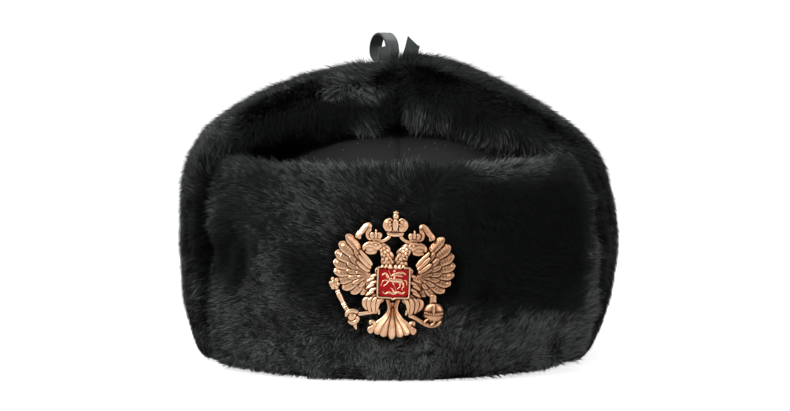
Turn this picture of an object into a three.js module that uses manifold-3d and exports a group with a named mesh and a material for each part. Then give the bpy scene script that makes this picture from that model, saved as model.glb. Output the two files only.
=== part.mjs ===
// A fur ushanka: an oval cloth band and a domed crown of four gores, a fur visor turned up in
// front, a fur neck flap turned up behind, and two fur ear flaps folded in over the crown and tied
// there with black tape. A cast two-headed eagle badge is pinned to the visor by its post.
// Millimetres. +Z is up, the visor faces -Y, and +X is the side on a viewer's right.
import * as THREE from "three";
import { mergeVertices } from "three/addons/utils/BufferGeometryUtils.js";
import Module from "manifold-3d";

const wasm = await Module();
wasm.setup();

// Driving dimensions.
const HEAD = { halfWidth: 84, halfLength: 100 }; // the inside of a 58 cm hat
const BAND = { wall: 3, height: 95 };
const CROWN = { wall: 2.5, top: 139, roundness: 1.8, shoulder: 0.6 };
const FUR = { halfWidth: 125, halfLength: 140, squareness: 2.3 }; // the outer form in plan
const SEAM = 0.3; // the space left between sewn pieces
const TURN_UP = { spread: THREE.MathUtils.degToRad(57), clearance: 0.6, stations: 32 };
const BADGE = {
  at: new THREE.Vector3(-3.3, -136.3, 51.4), // the shield's centre on the badge's flat back
  tilt: THREE.MathUtils.degToRad(-2),
  plate: 1.6,
  relief: 3.7,
};
const BADGE_SEAT = { halfWidth: 36, halfHeight: 36.5, rise: 4 }; // an oval, above the shield's centre
const SHIELD_CELL = { rim: 0.9, depth: 1.2, enamel: 0.6 };
const POST = { radius: 2, length: 12, clearance: 0.3 };
const TAPE = { width: 8, thickness: 1 };
const KNOT = { at: new THREE.Vector3(-3, -5, 155), half: new THREE.Vector3(4.6, 4.2, 3.8) };

// Rows of numbers under named columns.
function table(columns, rows) {
  const names = columns.split(" ");
  return rows.map((row) => Object.fromEntries(names.map((name, i) => [name, row[i]])));
}

// The section of the visor and of the neck flap, going up the outer face and down the inner one.
// across runs from 0 at the head band to 1 at the outer form, and height is in millimetres.
const TURN_UP_SECTION = table("across height", [
  [0.1, 0],
  [0.5, 0],
  [0.88, 0],
  [0.96, 6],
  [1.0, 24],
  [1.0, 44],
  [0.99, 64],
  [0.955, 83],
  [0.88, 99],
  [0.76, 109],
  [0.58, 112.5],
  [0.4, 108],
  [0.27, 96],
  [0.15, 70],
  [0.04, 35],
  [0.0, 10],
]);

// The ear flaps from the hem, up the side and in over the crown to the tip. outX and outZ are the
// fur's outer face at mid depth, inX and inZ the inner one. reachOut and reachIn are half the
// depth from front to back on those faces, centre is its middle, and drop is how far the flap
// has bent down EAR_FLAP.dropAt from the middle. roundShare is the share of the reach that the
// flap's round edges take.
const EAR_FLAP = { stations: 34, roundShare: 0.2, dropAt: 60, clearance: 2 };
const EAR_COLUMNS = "outX outZ inX inZ reachOut reachIn centre drop";
const EAR_LEFT = table(EAR_COLUMNS, [
  [109, 0, 96, 0, 68, 50, 0, 0],
  [118, 5, 91, 4, 73, 51, 0, 0],
  [122, 18, 89, 16, 76, 52, 0, 0],
  [125, 46, 89, 44, 76, 52, 0, 0],
  [125.5, 80, 90, 74, 76, 53, 0, 0],
  [123.5, 103, 92, 94, 76, 56, 0, 0],
  [115, 122, 87, 108, 75, 62, -0.5, 2],
  [99.5, 137.5, 75, 119, 73.5, 67, -1.5, 5],
  [73, 151.5, 57.5, 127, 71.5, 69.5, -4, 7.5],
  [46, 160.5, 37.5, 134.6, 69.5, 68.5, -6.5, 9.5],
  [24, 165, 20, 139.1, 67.5, 67, -9, 10.5],
  [7, 165.5, 6, 140.8, 64.5, 64.5, -11.5, 11],
  [2.4, 162, 2.4, 145, 59, 59, -12, 11],
  [0.9, 158, 0.9, 149, 54, 54, -12, 11],
]);
const EAR_RIGHT = table(EAR_COLUMNS, [
  [104, 0, 94, 0, 68, 50, 0, 0],
  [111, 5, 91, 4, 72, 51, 0, 0],
  [117.5, 18, 89, 16, 74, 52, 0, 0],
  [123.6, 46, 89, 44, 75, 52, 0, 0],
  [125, 72, 90, 68, 75, 53, 0, 0],
  [119.5, 98, 91.5, 90, 74.5, 55, 0, 0],
  [110.5, 117.5, 86, 106, 73.5, 60, -0.5, 2],
  [92, 134.5, 73, 118, 72.5, 66, -1.5, 5],
  [64, 151.5, 56, 127.3, 71, 69.5, -4, 7.5],
  [41, 162.5, 37, 135, 69.5, 68.5, -6.5, 9.5],
  [22, 168.5, 20, 139.8, 67.5, 67, -9, 10.5],
  [7, 169, 6, 141.5, 64.5, 64.5, -11.5, 11],
  [2.4, 165, 2.4, 146, 59, 59, -12, 11],
  [0.9, 161, 0.9, 150.5, 54, 54, -12, 11],
]);

// A closed geometry from points and triangles, turned so that its faces point out.
function closed(points, faces) {
  let volume = 0;
  for (let i = 0; i < faces.length; i += 3) {
    const [a, b, c] = [points[faces[i]], points[faces[i + 1]], points[faces[i + 2]]];
    volume += a.dot(new THREE.Vector3().crossVectors(b, c));
  }
  const order = volume < 0 ? [...faces].reverse() : faces;
  const geometry = new THREE.BufferGeometry().setFromPoints(points);
  geometry.setIndex(order);
  return geometry;
}

// A body through a row of sections with equal counts of points. A ring joins its last section to
// its first, and any other loft gets a fan over each end.
function loft(sections, ring = false) {
  const around = sections[0].length;
  const points = sections.flat();
  const faces = [];
  const spans = ring ? sections.length : sections.length - 1;
  for (let row = 0; row < spans; row++) {
    const next = (row + 1) % sections.length;
    for (let i = 0; i < around; i++) {
      const j = (i + 1) % around;
      const [a, b] = [row * around + i, row * around + j];
      const [c, d] = [next * around + j, next * around + i];
      faces.push(a, b, c, a, c, d);
    }
  }
  if (!ring) {
    for (const [row, flip] of [[0, true], [sections.length - 1, false]]) {
      const middle = new THREE.Vector3();
      sections[row].forEach((point) => middle.add(point));
      points.push(middle.divideScalar(around));
      for (let i = 0; i < around; i++) {
        const [a, b] = [row * around + i, row * around + ((i + 1) % around)];
        faces.push(points.length - 1, ...(flip ? [b, a] : [a, b]));
      }
    }
  }
  return closed(points, faces);
}

// Booleans on closed geometries.
function solid(geometry) {
  const bare = geometry.clone();
  bare.deleteAttribute("normal");
  bare.deleteAttribute("uv");
  const merged = mergeVertices(bare);
  return new wasm.Manifold(
    new wasm.Mesh({
      numProp: 3,
      vertProperties: merged.attributes.position.array,
      triVerts: new Uint32Array(merged.index.array),
    }),
  );
}

function geometryOf(body) {
  const mesh = body.getMesh();
  const geometry = new THREE.BufferGeometry();
  const positions = new Float32Array(mesh.vertProperties);
  geometry.setAttribute("position", new THREE.BufferAttribute(positions, 3));
  geometry.setIndex([...mesh.triVerts]);
  return geometry;
}

const join = (bodies) => bodies.reduce((sum, body) => sum.add(body));

// Plan outlines. An angle of 0 is the front, and +90 degrees is the side at +X.
const signedPower = (value, power) => Math.sign(value) * Math.abs(value) ** power;

function ellipse(halfWidth, halfLength, angle, height) {
  return new THREE.Vector3(halfWidth * Math.sin(angle), -halfLength * Math.cos(angle), height);
}

function furOutline(angle) {
  const power = 2 / FUR.squareness;
  const x = FUR.halfWidth * signedPower(Math.sin(angle), power);
  const y = -FUR.halfLength * signedPower(Math.cos(angle), power);
  return new THREE.Vector3(x, y, 0);
}

const bandOuter = { halfWidth: HEAD.halfWidth + BAND.wall, halfLength: HEAD.halfLength + BAND.wall };

function headBand() {
  const steps = 72;
  const sections = Array.from({ length: steps }, (_, i) => {
    const angle = (i / steps) * 2 * Math.PI;
    return [
      ellipse(HEAD.halfWidth, HEAD.halfLength, angle, 0),
      ellipse(bandOuter.halfWidth, bandOuter.halfLength, angle, 0),
      ellipse(bandOuter.halfWidth, bandOuter.halfLength, angle, BAND.height),
      ellipse(HEAD.halfWidth, HEAD.halfLength, angle, BAND.height),
    ];
  });
  return loft(sections, true);
}

// The dome's height at a plan point, for a shell that is inset from the crown's outer face.
function domeHeight(x, y, inset) {
  const across = x / (bandOuter.halfWidth - inset);
  const along = y / (bandOuter.halfLength - inset);
  const out = Math.min(1, Math.hypot(across, along));
  const foot = BAND.height + SEAM;
  const rise = CROWN.top - inset - foot;
  return foot + rise * (1 - out ** CROWN.roundness) ** CROWN.shoulder;
}

// One gore: a quarter of the dome, half a seam away from the planes where it meets the next ones.
function crownGore(sideX, sideY) {
  const [rings, steps] = [9, 10];
  const face = (inset) => {
    const rows = [];
    for (let ring = 1; ring <= rings; ring++) {
      const out = Math.sin((ring / rings) * (Math.PI / 2));
      for (let step = 0; step <= steps; step++) {
        const angle = (step / steps) * (Math.PI / 2);
        const x = sideX * (SEAM / 2 + out * Math.sin(angle) * (bandOuter.halfWidth - inset - SEAM / 2));
        const y = sideY * (SEAM / 2 + out * Math.cos(angle) * (bandOuter.halfLength - inset - SEAM / 2));
        const height = ring === rings ? BAND.height + SEAM : domeHeight(x, y, inset);
        rows.push(new THREE.Vector3(x, y, height));
      }
    }
    const [x, y] = [(sideX * SEAM) / 2, (sideY * SEAM) / 2];
    return [new THREE.Vector3(x, y, domeHeight(x, y, inset)), ...rows];
  };
  const points = [...face(0), ...face(CROWN.wall)];
  const inner = points.length / 2;
  const at = (ring, step) => (ring === 0 ? 0 : 1 + (ring - 1) * (steps + 1) + step);
  const faces = [];
  const quad = (a, b, c, d) => faces.push(a, b, c, a, c, d);
  for (let ring = 0; ring < rings; ring++) {
    for (let step = 0; step < steps; step++) {
      const corners = [at(ring, step), at(ring + 1, step), at(ring + 1, step + 1), at(ring, step + 1)];
      if (ring === 0) {
        faces.push(corners[0], corners[1], corners[2]);
        faces.push(inner, inner + corners[2], inner + corners[1]);
      } else {
        quad(...corners);
        quad(...corners.map((corner) => inner + corner).reverse());
      }
    }
    const [near, far] = [at(ring, 0), at(ring + 1, 0)];
    quad(near, inner + near, inner + far, far);
    const [end, last] = [at(ring, steps), at(ring + 1, steps)];
    quad(end, last, inner + last, inner + end);
  }
  for (let step = 0; step < steps; step++) {
    const [a, b] = [at(rings, step), at(rings, step + 1)];
    quad(a, inner + a, inner + b, b);
  }
  return closed(points, faces);
}

// A fur flap turned up along the band. It keeps its section over the spread and is rounded off at
// both ends. hem and rim give how far its lower and upper edges rise towards the two ends.
function turnedUpFlap(middle, hem, rim) {
  const inner = {
    halfWidth: bandOuter.halfWidth + TURN_UP.clearance,
    halfLength: bandOuter.halfLength + TURN_UP.clearance,
  };
  const top = Math.max(...TURN_UP_SECTION.map((row) => row.height));
  const rounding = 0.12; // the share of half the spread that the rounded end takes
  const endWidth = 0.3; // what is left of the section's width and of its height at the very end
  const endHeight = 0.84;
  const sections = [];
  for (let station = 0; station <= TURN_UP.stations; station++) {
    const along = Math.sin(((station / TURN_UP.stations) * 2 - 1) * (Math.PI / 2));
    const end = Math.max(0, (Math.abs(along) - 1 + rounding) / rounding);
    const round = Math.sqrt(1 - Math.min(1, end) ** 2);
    const angle = middle + along * TURN_UP.spread;
    const side = along < 0 ? 0 : 1;
    const from = ellipse(inner.halfWidth, inner.halfLength, angle, 0);
    const to = furOutline(angle);
    sections.push(
      TURN_UP_SECTION.map(({ across, height }) => {
        const width = 0.5 + (across - 0.5) * THREE.MathUtils.lerp(endWidth, 1, round);
        const level = top / 2 + (height - top / 2) * THREE.MathUtils.lerp(endHeight, 1, round);
        const lift = THREE.MathUtils.lerp(hem[side], rim[side], height / top) * along ** 2;
        return from.clone().lerp(to, width).setZ(level + lift);
      }),
    );
  }
  return loft(sections);
}

// The profile of the vertical funnel in the fur around the knot, from the knot's middle, with room
// for the tape that rises from it.
const KNOT_FUNNEL = table("radius height", [
  [0, -9],
  [7, -9],
  [9.5, 0],
  [16.5, 9],
  [18, 24],
  [0, 24],
]);

function knotFunnel() {
  const profile = KNOT_FUNNEL.map(({ radius, height }) => new THREE.Vector2(radius, height));
  const funnel = new THREE.LatheGeometry(profile, 28);
  funnel.rotateX(Math.PI / 2);
  funnel.translate(KNOT.at.x, KNOT.at.y, KNOT.at.z);
  return funnel;
}

// The outline of a padded flap: straight faces, and round edges that take roundShare of the reach.
// along runs from -1 at the front to 1 at the back, across from 0 on the inner face to 1 outside.
function paddedOutline(roundShare) {
  const [bends, straights] = [6, 6];
  const outline = [];
  for (const end of [1, -1]) {
    for (let i = 0; i <= bends; i++) {
      const angle = (i / bends - 0.5) * Math.PI;
      const along = end * (1 - roundShare + roundShare * Math.cos(angle));
      outline.push({ along, across: 0.5 + 0.5 * end * Math.sin(angle) });
    }
    for (let i = 1; i < straights; i++) {
      const along = end * (1 - roundShare) * (1 - (2 * i) / straights);
      outline.push({ along, across: (1 + end) / 2 });
    }
  }
  return outline;
}

function earFlap(rows, side) {
  const pair = (first, second) =>
    new THREE.SplineCurve(rows.map((row) => new THREE.Vector2(row[first], row[second])));
  const curves = [
    pair("outX", "outZ"),
    pair("inX", "inZ"),
    pair("reachOut", "reachIn"),
    pair("centre", "drop"),
  ];
  const outline = paddedOutline(EAR_FLAP.roundShare);
  const sections = [];
  for (let station = 0; station <= EAR_FLAP.stations; station++) {
    const share = station / EAR_FLAP.stations;
    const [outer, inner, reach, bend] = curves.map((curve) => curve.getPoint(share));
    sections.push(
      outline.map(({ along, across }) => {
        const y = bend.x + along * THREE.MathUtils.lerp(reach.y, reach.x, across);
        const fullest = (1 - Math.abs(y / FUR.halfLength) ** FUR.squareness) ** (1 / FUR.squareness);
        const tightest = Math.sqrt(1 - (y / (bandOuter.halfLength + EAR_FLAP.clearance)) ** 2);
        const x = THREE.MathUtils.lerp(inner.x * tightest, outer.x * fullest, across);
        const level = THREE.MathUtils.lerp(inner.y, outer.y, across);
        return new THREE.Vector3(side * x, y, level - bend.y * (y / EAR_FLAP.dropAt) ** 2);
      }),
    );
  }
  return geometryOf(solid(loft(sections)).subtract(solid(knotFunnel())));
}

// Badge outlines, in millimetres from the shield's centre: u to the viewer's right, v up.
const WING_ROOT = new THREE.Vector2(10, 3);
const PRIMARIES = table("u v width", [
  [24.6, 23, 4.6],
  [27.9, 19.2, 4.8],
  [29.8, 14.6, 5],
  [30.5, 9.9, 5],
  [29.9, 4.9, 5],
  [28, 0.4, 4.8],
  [24.9, -3.4, 4.6],
  [20.4, -5.7, 4.4],
  [15.6, -5.9, 4.2],
]);
const WING_BLADE = [[7.5, 4], [11.4, 9.6], [20.5, 19.5], [25, 10], [24, 2], [16, -3], [7.5, -3]];
const NECK = [[0, 8], [6.4, 8], [6.6, 12.5], [9.5, 14.5], [13.2, 15], [15.8, 18.4], [13.2, 21],
  [7.6, 21.3], [3.6, 17.4], [0.6, 13.2], [0, 13.2]];
const CROWN_ARCH = [[2.2, 23.2], [3.2, 25.6], [8.6, 22], [7, 20]];
const GREAT_CROWN = [[-3.7, 24.2], [3.7, 24.2], [5.8, 29.6], [4.6, 32.4], [1.7, 32.4], [1.7, 34.6],
  [0, 36.7], [-1.7, 34.6], [-1.7, 32.4], [-4.6, 32.4], [-5.8, 29.6]];
const HEAD_CROWN = [[7.4, 21], [12.4, 21], [12.4, 24.2], [10.2, 26.2], [9.6, 26.6], [9, 26.2], [6.9, 24.2]];
const CROWN_RIBBON = [[11.4, 21.4], [13.6, 23.4], [13, 27.6], [14.4, 28.8], [18, 24], [18.4, 21.6],
  [20.8, 21.8], [20.4, 24.6], [15.4, 30.9], [11.7, 30], [11.4, 24.6]];
const SHIELD = [[-8.5, 8.4], [-8.5, -6.4], [-7.4, -7.7], [-1.3, -7.7], [0, -8.9], [1.3, -7.7],
  [7.4, -7.7], [8.5, -6.4], [8.5, 8.4]];
const THIGH = [[3.5, -7], [8.5, -6], [13, -9.6], [13.2, -12.6], [10.6, -15.8], [7, -16.2], [7.4, -12],
  [3.5, -8.4]];
const TAIL = [[-3.8, -7], [3.8, -7], [2.3, -14.6], [5.5, -19], [8.8, -21.6], [9.4, -19.8], [11.4, -20.6],
  [11.6, -25.4], [8.4, -27.6], [0, -28.9], [-8.4, -27.6], [-11.6, -25.4], [-11.4, -20.6], [-9.4, -19.8],
  [-8.8, -21.6], [-5.5, -19], [-2.3, -14.6]];
const SCEPTRE_LEG = [[-10, -13], [-10.5, -16.6], [-17.4, -18.6], [-17.4, -15.6]];
const SCEPTRE = [[-29.4, -3.2], [-27.4, -4.4], [-19.4, -16.2], [-17, -23.6], [-19, -24.4], [-22.8, -18.2]];
const SCEPTRE_HEAD = { at: [-30.2, -1.4], radius: 2.9 };
const SCEPTRE_CLAW = { at: [-19.8, -17.6], radius: 3 };
const ORB_LEG = [[7, -14], [11, -13.6], [13.6, -17], [19.4, -19.4], [24.6, -18.2], [25, -20], [20.4, -21.8],
  [15, -20.6], [9, -17.4]];
const ORB = { at: [20.9, -14.4], radius: 5.1 };
const ORB_STEM = [[18.8, -10.6], [18.6, -4.6], [22.2, -4.6], [22.6, -10.6]];
// How far each part of the cast relief stands out from the badge's flat back.
const RELIEF = {
  blade: 2.6,
  feather: 2,
  neck: 3,
  arch: 1.8,
  greatCrown: 3,
  headCrown: 2.6,
  ribbon: 1.8,
  thigh: 2.8,
  tail: 2.6,
  leg: 2.2,
  sceptre: 2,
  sceptreHead: 3,
  claw: 2.8,
  orbStem: 2,
  orb: 3.2,
};

function plate(outline, depth) {
  const shape = new THREE.Shape(outline.map(([u, v]) => new THREE.Vector2(u, v)));
  return solid(new THREE.ExtrudeGeometry(shape, { depth, bevelEnabled: false }));
}

const mirrored = (outline) => outline.map(([u, v]) => [-u, v]).reverse();

function disc({ at: [u, v], radius }, depth) {
  const geometry = new THREE.CylinderGeometry(radius, radius, depth, 20);
  geometry.rotateX(Math.PI / 2);
  geometry.translate(u, v, depth / 2);
  return solid(geometry);
}

// A flat feather from the wing's root to its tip, widest two thirds of the way out.
function feather({ u, v, width }, side, depth) {
  const tip = new THREE.Vector2(u, v);
  const reach = tip.clone().sub(WING_ROOT);
  const across = new THREE.Vector2(-reach.y, reach.x).normalize();
  const stops = table("along half", [[0.15, 0.3], [0.5, 0.42], [0.75, 0.5], [0.9, 0.4], [0.98, 0.16]]);
  const edge = (sign) =>
    stops.map(({ along, half }) => {
      const middle = WING_ROOT.clone().addScaledVector(reach, along);
      const point = middle.addScaledVector(across, sign * half * width);
      return [point.x, point.y];
    });
  const outline = [...edge(-1), ...edge(1).reverse()];
  return plate(side < 0 ? mirrored(outline) : outline, depth);
}

function eagle() {
  const wing = (side) => {
    const blade = side < 0 ? mirrored(WING_BLADE) : WING_BLADE;
    const feathers = PRIMARIES.map((row) => feather(row, side, RELIEF.feather));
    return [plate(blade, RELIEF.blade), ...feathers];
  };
  const both = (outline, depth) => [plate(outline, depth), plate(mirrored(outline), depth)];
  const body = join([
    ...wing(-1),
    ...wing(1),
    ...both(NECK, RELIEF.neck),
    ...both(CROWN_ARCH, RELIEF.arch),
    ...both(HEAD_CROWN, RELIEF.headCrown),
    ...both(CROWN_RIBBON, RELIEF.ribbon),
    ...both(THIGH, RELIEF.thigh),
    plate(GREAT_CROWN, RELIEF.greatCrown),
    plate(TAIL, RELIEF.tail),
    plate(SHIELD, BADGE.relief),
    plate(SCEPTRE_LEG, RELIEF.leg),
    plate(SCEPTRE, RELIEF.sceptre),
    disc(SCEPTRE_HEAD, RELIEF.sceptreHead),
    disc(SCEPTRE_CLAW, RELIEF.claw),
    plate(ORB_LEG, RELIEF.leg),
    plate(ORB_STEM, RELIEF.orbStem),
    disc(ORB, RELIEF.orb),
  ]);
  const post = new THREE.CylinderGeometry(POST.radius, POST.radius, POST.length + BADGE.plate, 20);
  post.rotateX(Math.PI / 2);
  post.translate(0, 0, (BADGE.plate - POST.length) / 2);
  const cell = plate(shieldOutline(SHIELD_CELL.rim), BADGE.relief);
  const raised = cell.translate([0, 0, BADGE.relief - SHIELD_CELL.depth]);
  return geometryOf(body.add(solid(post)).subtract(raised));
}

// The shield's outline, moved in. The two points of its foot keep their width.
function shieldOutline(inset) {
  const footHalfWidth = 2;
  return SHIELD.map(([u, v]) => {
    const narrowed = Math.abs(u) < footHalfWidth ? u : u - Math.sign(u) * inset;
    return [narrowed, v - Math.sign(v) * inset];
  });
}

// The enamel lies in a cell in the shield, inside a metal rim.
function enamel() {
  const fill = plate(shieldOutline(SHIELD_CELL.rim + SEAM), SHIELD_CELL.enamel);
  return geometryOf(fill.translate([0, 0, BADGE.relief - SHIELD_CELL.depth + SEAM]));
}

// The pile is pressed flat under the badge, and the post goes into a bore behind it.
function badgeSeat() {
  const cut = 20; // how far the cutting oval reaches forwards, past the whole pile
  const seat = new THREE.CylinderGeometry(1, 1, cut, 56);
  seat.scale(BADGE_SEAT.halfWidth, 1, BADGE_SEAT.halfHeight);
  seat.translate(BADGE.at.x, BADGE.at.y + SEAM - cut / 2, BADGE.at.z + BADGE_SEAT.rise);
  const radius = POST.radius + POST.clearance;
  const depth = POST.length + 2 * SEAM;
  const bore = new THREE.CylinderGeometry(radius, radius, depth, 20);
  bore.translate(BADGE.at.x, BADGE.at.y + depth / 2, BADGE.at.z);
  return solid(seat).add(solid(bore));
}

function frontFlap() {
  const flap = turnedUpFlap(0, [4, 7], [3, 6]);
  return geometryOf(solid(flap).subtract(badgeSeat()));
}

// A tape through stations that each name its middle, and the direction across its width.
function tape(rows, slant = 0) {
  const path = new THREE.CatmullRomCurve3(rows.map(({ x, y, z }) => new THREE.Vector3(x, y, z)));
  const turns = new THREE.CatmullRomCurve3(rows.map(({ ax, ay }) => new THREE.Vector3(ax, ay, 0)));
  const steps = rows.length * 3;
  const sections = [];
  for (let step = 0; step <= steps; step++) {
    const t = step / steps;
    const forward = path.getTangent(t);
    const flat = turns.getPoint(t).normalize();
    const normal = new THREE.Vector3().crossVectors(flat, forward).normalize();
    const across = new THREE.Vector3().crossVectors(forward, normal).normalize();
    const cut = step === steps ? slant : 0;
    const middle = path.getPoint(t);
    sections.push(
      [[-1, -1], [1, -1], [1, 1], [-1, 1]].map(([side, face]) =>
        middle
          .clone()
          .addScaledVector(across, (side * TAPE.width) / 2)
          .addScaledVector(forward, side * cut)
          .addScaledVector(normal, (face * TAPE.thickness) / 2),
      ),
    );
  }
  return loft(sections);
}

const TAPE_COLUMNS = "x y z ax ay";
const LOOP = table(TAPE_COLUMNS, [
  [-4.8, -6.8, 159.4, 0.85, 0.53],
  [-4.9, -11, 164, 0.85, 0.53],
  [-4.2, -12.2, 170, 0.9, 0.43],
  [-5.4, -10.6, 176.5, 0.9, 0.43],
  [-8.6, -5, 180.2, 0.85, 0.53],
  [-12.2, 0.8, 178.4, 0.85, 0.53],
  [-14, 3.6, 172.5, 0.85, 0.53],
  [-12.8, 2.2, 166, 0.85, 0.53],
  [-5.4, -4.4, 159.5, 0.85, 0.53],
]);
const END_RIGHT = table(TAPE_COLUMNS, [
  [2.2, -5.2, 159, 0.98, -0.2],
  [4.6, -6, 165, 0.98, -0.2],
  [6.4, -6.6, 170.5, 0.99, -0.1],
  [7.7, -7, 175.6, 0.99, -0.1],
]);
const END_FRONT = table(TAPE_COLUMNS, [
  [-4.4, -9.9, 156.2, 0.95, 0.3],
  [-7.4, -15, 162.5, 0.95, 0.3],
  [-8.4, -16, 168, 0.95, 0.3],
  [-7.9, -15.4, 173, 0.95, 0.3],
]);
const STRAP = table(TAPE_COLUMNS, [
  [KNOT.half.x + 0.4, 0, -0.5, 0, 1],
  [KNOT.half.x + 1.8, 0, -0.7, 0, 1],
  [KNOT.half.x + 3.1, 0, -1.1, 0, 1],
]);

function strap(side) {
  const rows = STRAP.map((row) => ({
    ...row,
    x: KNOT.at.x + side * row.x,
    y: KNOT.at.y,
    z: KNOT.at.z + row.z,
  }));
  return tape(rows);
}

function knot() {
  const geometry = new THREE.SphereGeometry(1, 18, 12);
  geometry.scale(KNOT.half.x, KNOT.half.y, KNOT.half.z);
  geometry.translate(KNOT.at.x, KNOT.at.y, KNOT.at.z);
  return geometry;
}

const finish = (color, roughness, metalness = 0) =>
  new THREE.MeshStandardMaterial({ color, roughness, metalness, side: THREE.FrontSide });
const fur = finish(0x1c1d1c, 0.9);
const cloth = finish(0x232523, 0.95);
const blackTape = finish(0x2a2d2e, 0.45);
const copperGold = finish(0xd9a27c, 0.3, 1);
const redEnamel = finish(0xb5121f, 0.15);

const hat = new THREE.Group();

function add(name, geometry, material, parent = hat) {
  const mesh = new THREE.Mesh(geometry, material);
  mesh.name = name;
  parent.add(mesh);
}

add("head_band", headBand(), cloth);
for (const [end, sideY] of [["front", -1], ["back", 1]]) {
  for (const [side, sideX] of [["left", -1], ["right", 1]]) {
    add(`crown_${end}_${side}`, crownGore(sideX, sideY), cloth);
  }
}
add("front_flap", frontFlap(), fur);
add("neck_flap", turnedUpFlap(Math.PI, [3, 3], [5, 5]), fur);
add("ear_flap_left", earFlap(EAR_LEFT, -1), fur);
add("ear_flap_right", earFlap(EAR_RIGHT, 1), fur);
add("tie_knot", knot(), blackTape);
add("tie_loop", tape(LOOP), blackTape);
add("tie_end_right", tape(END_RIGHT, -2.2), blackTape);
add("tie_end_front", tape(END_FRONT, 1.6), blackTape);
add("tie_strap_left", strap(-1), blackTape);
add("tie_strap_right", strap(1), blackTape);

const badge = new THREE.Group();
badge.position.copy(BADGE.at);
badge.rotation.set(Math.PI / 2, 0, 0);
const tilted = new THREE.Group();
tilted.rotation.z = BADGE.tilt;
badge.add(tilted);
hat.add(badge);
add("badge", eagle(), copperGold, tilted);
add("badge_shield", enamel(), redEnamel, tilted);

export default hat;
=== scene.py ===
import math
from contextlib import contextmanager

import bmesh
import bpy
import numpy as np
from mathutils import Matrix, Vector
from mathutils.bvhtree import BVHTree


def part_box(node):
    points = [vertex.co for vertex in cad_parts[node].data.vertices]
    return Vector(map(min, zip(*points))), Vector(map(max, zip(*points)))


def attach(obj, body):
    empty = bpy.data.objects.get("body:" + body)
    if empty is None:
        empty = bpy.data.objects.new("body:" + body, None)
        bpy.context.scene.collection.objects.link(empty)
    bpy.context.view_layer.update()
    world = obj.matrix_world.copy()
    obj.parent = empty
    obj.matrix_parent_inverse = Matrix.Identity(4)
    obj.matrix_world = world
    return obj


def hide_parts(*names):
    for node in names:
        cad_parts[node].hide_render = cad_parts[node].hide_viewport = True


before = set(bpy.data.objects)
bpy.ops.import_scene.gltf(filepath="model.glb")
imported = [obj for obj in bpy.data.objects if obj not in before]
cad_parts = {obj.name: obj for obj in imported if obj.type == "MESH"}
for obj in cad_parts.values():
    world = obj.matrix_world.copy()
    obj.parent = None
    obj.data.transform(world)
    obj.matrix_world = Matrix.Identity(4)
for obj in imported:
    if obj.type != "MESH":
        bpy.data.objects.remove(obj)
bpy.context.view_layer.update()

# A black fur ushanka with its ear flaps tied up over the crown. Metres; the hat stands on Z = 0,
# the visor faces -Y, and +X is the side on a viewer's right.
MM = 0.001
SEED = 7

# The camera's place and lens, worked out for a picture 790 pixels wide.
PICTURE_WIDTH = 790
FOCAL_PIXELS = 2100
SENSOR = 36
CAMERA_AT = Vector((0, -1200, 160)) * MM
CAMERA_AIM = Vector((-2.9, 0, 82)) * MM

# The hides, which are the frame's flaps set in by the depth of the pile that grows on them.
PILE_INSET = 4.4 * MM
THIN_SHARE = 0.3  # the most that the inset takes of a flap's thickness
HIDE_CELL = 3.2 * MM
HELD_GAP = 1.5 * MM  # up to this gap from another solid a hide keeps the frame's face
FREE_GAP = 8 * MM  # and from this one on it has its full inset
TIP_SWELL = 2.2 * MM  # how far the ear flaps' tips swell to meet over the crown
TIP_REACH = 16 * MM  # and how far to each side of the middle they do
RIM_SINK = 0.5 * MM  # the most that the underside of a rim draws in upwards
HOLD_SEARCH = 12 * MM  # other solids farther off than this don't count

# The pile. Stops are where a strand is cut across, as along and share of the width, and its tip
# follows. A layer's share is of the triangles, and its pull draws strands together into tufts.
PILE_LAYERS = {
    "short": {
        "stops": ((0.0, 1.0),),
        "length": 6.4 * MM,
        "width": 0.46 * MM,
        "share": 0.66,
        "pull": 0.35,
    },
    "long": {
        "stops": ((0.0, 1.0), (0.5, 0.75)),
        "length": 8.6 * MM,
        "width": 0.36 * MM,
        "share": 0.34,
        "pull": 0.5,
    },
}
# The triangles of each fur piece. The visor's fur is in two, left and right of the middle.
PILE_TRIANGLES = {
    "front_flap": 158_000,
    "neck_flap": 104_000,
    "ear_flap_left": 157_000,
    "ear_flap_right": 157_000,
}
TUFT_SIZE = 2.8 * MM
TUFT_LIMIT = 1.6  # the most that a long pile strengthens a layer's pull
TONES = 8  # the strands come in TONES * TONES brightnesses
# The sizes of the swirls that unsettle the comb, widely and narrowly, the lean, length and tone.
WIDE_SWIRL = 26 * MM
NARROW_SWIRL = 8 * MM
LEAN_SWIRL = 14 * MM
LENGTH_SWIRL = 12 * MM
TONE_SWIRL = 12 * MM
RISE_AT_ROOT = 1.15  # how upright a strand with no lean leaves the hide
RISE_AT_TIP = 0.75
DROOP = 0.12  # the pull of its weight on a strand's tip
BARE_BELOW = 20 * MM  # under this height nothing grows on faces that look down
STRAND_FOOT = 0.4 * MM  # no strand hangs lower than this
OPEN_ABOVE = 1.5 * MM  # how far over the frame's face the room for strands is measured
SHUT_IN, OPEN = 0.02, 0.3  # shares of free directions for no pile and for the full one

# The badge.
BADGE_AT = Vector((-3.3, -136.3, 51.4)) * MM  # the shield's centre on the badge's flat back
BADGE_TILT = math.radians(-2)
BADGE_REACH = Vector((34, 34.5)) * MM  # half its width and height
BADGE_RISE = 4 * MM  # from the shield's centre up to the badge's
BADGE_EDGE = (0.9, 1.35)  # where the pile starts and ends to rise, in halves of the badge
PILE_SUNK = 0.5 * MM  # how far behind the badge's back the pile stays, which it presses flat
PILE_REACH = 12 * MM  # how far the pile may stand out beside it
POST_RADIUS = 2 * MM
POST_LENGTH = 12 * MM
PLUG_RADIUS = 4 * MM
PLUG_LENGTH = 16 * MM

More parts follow.
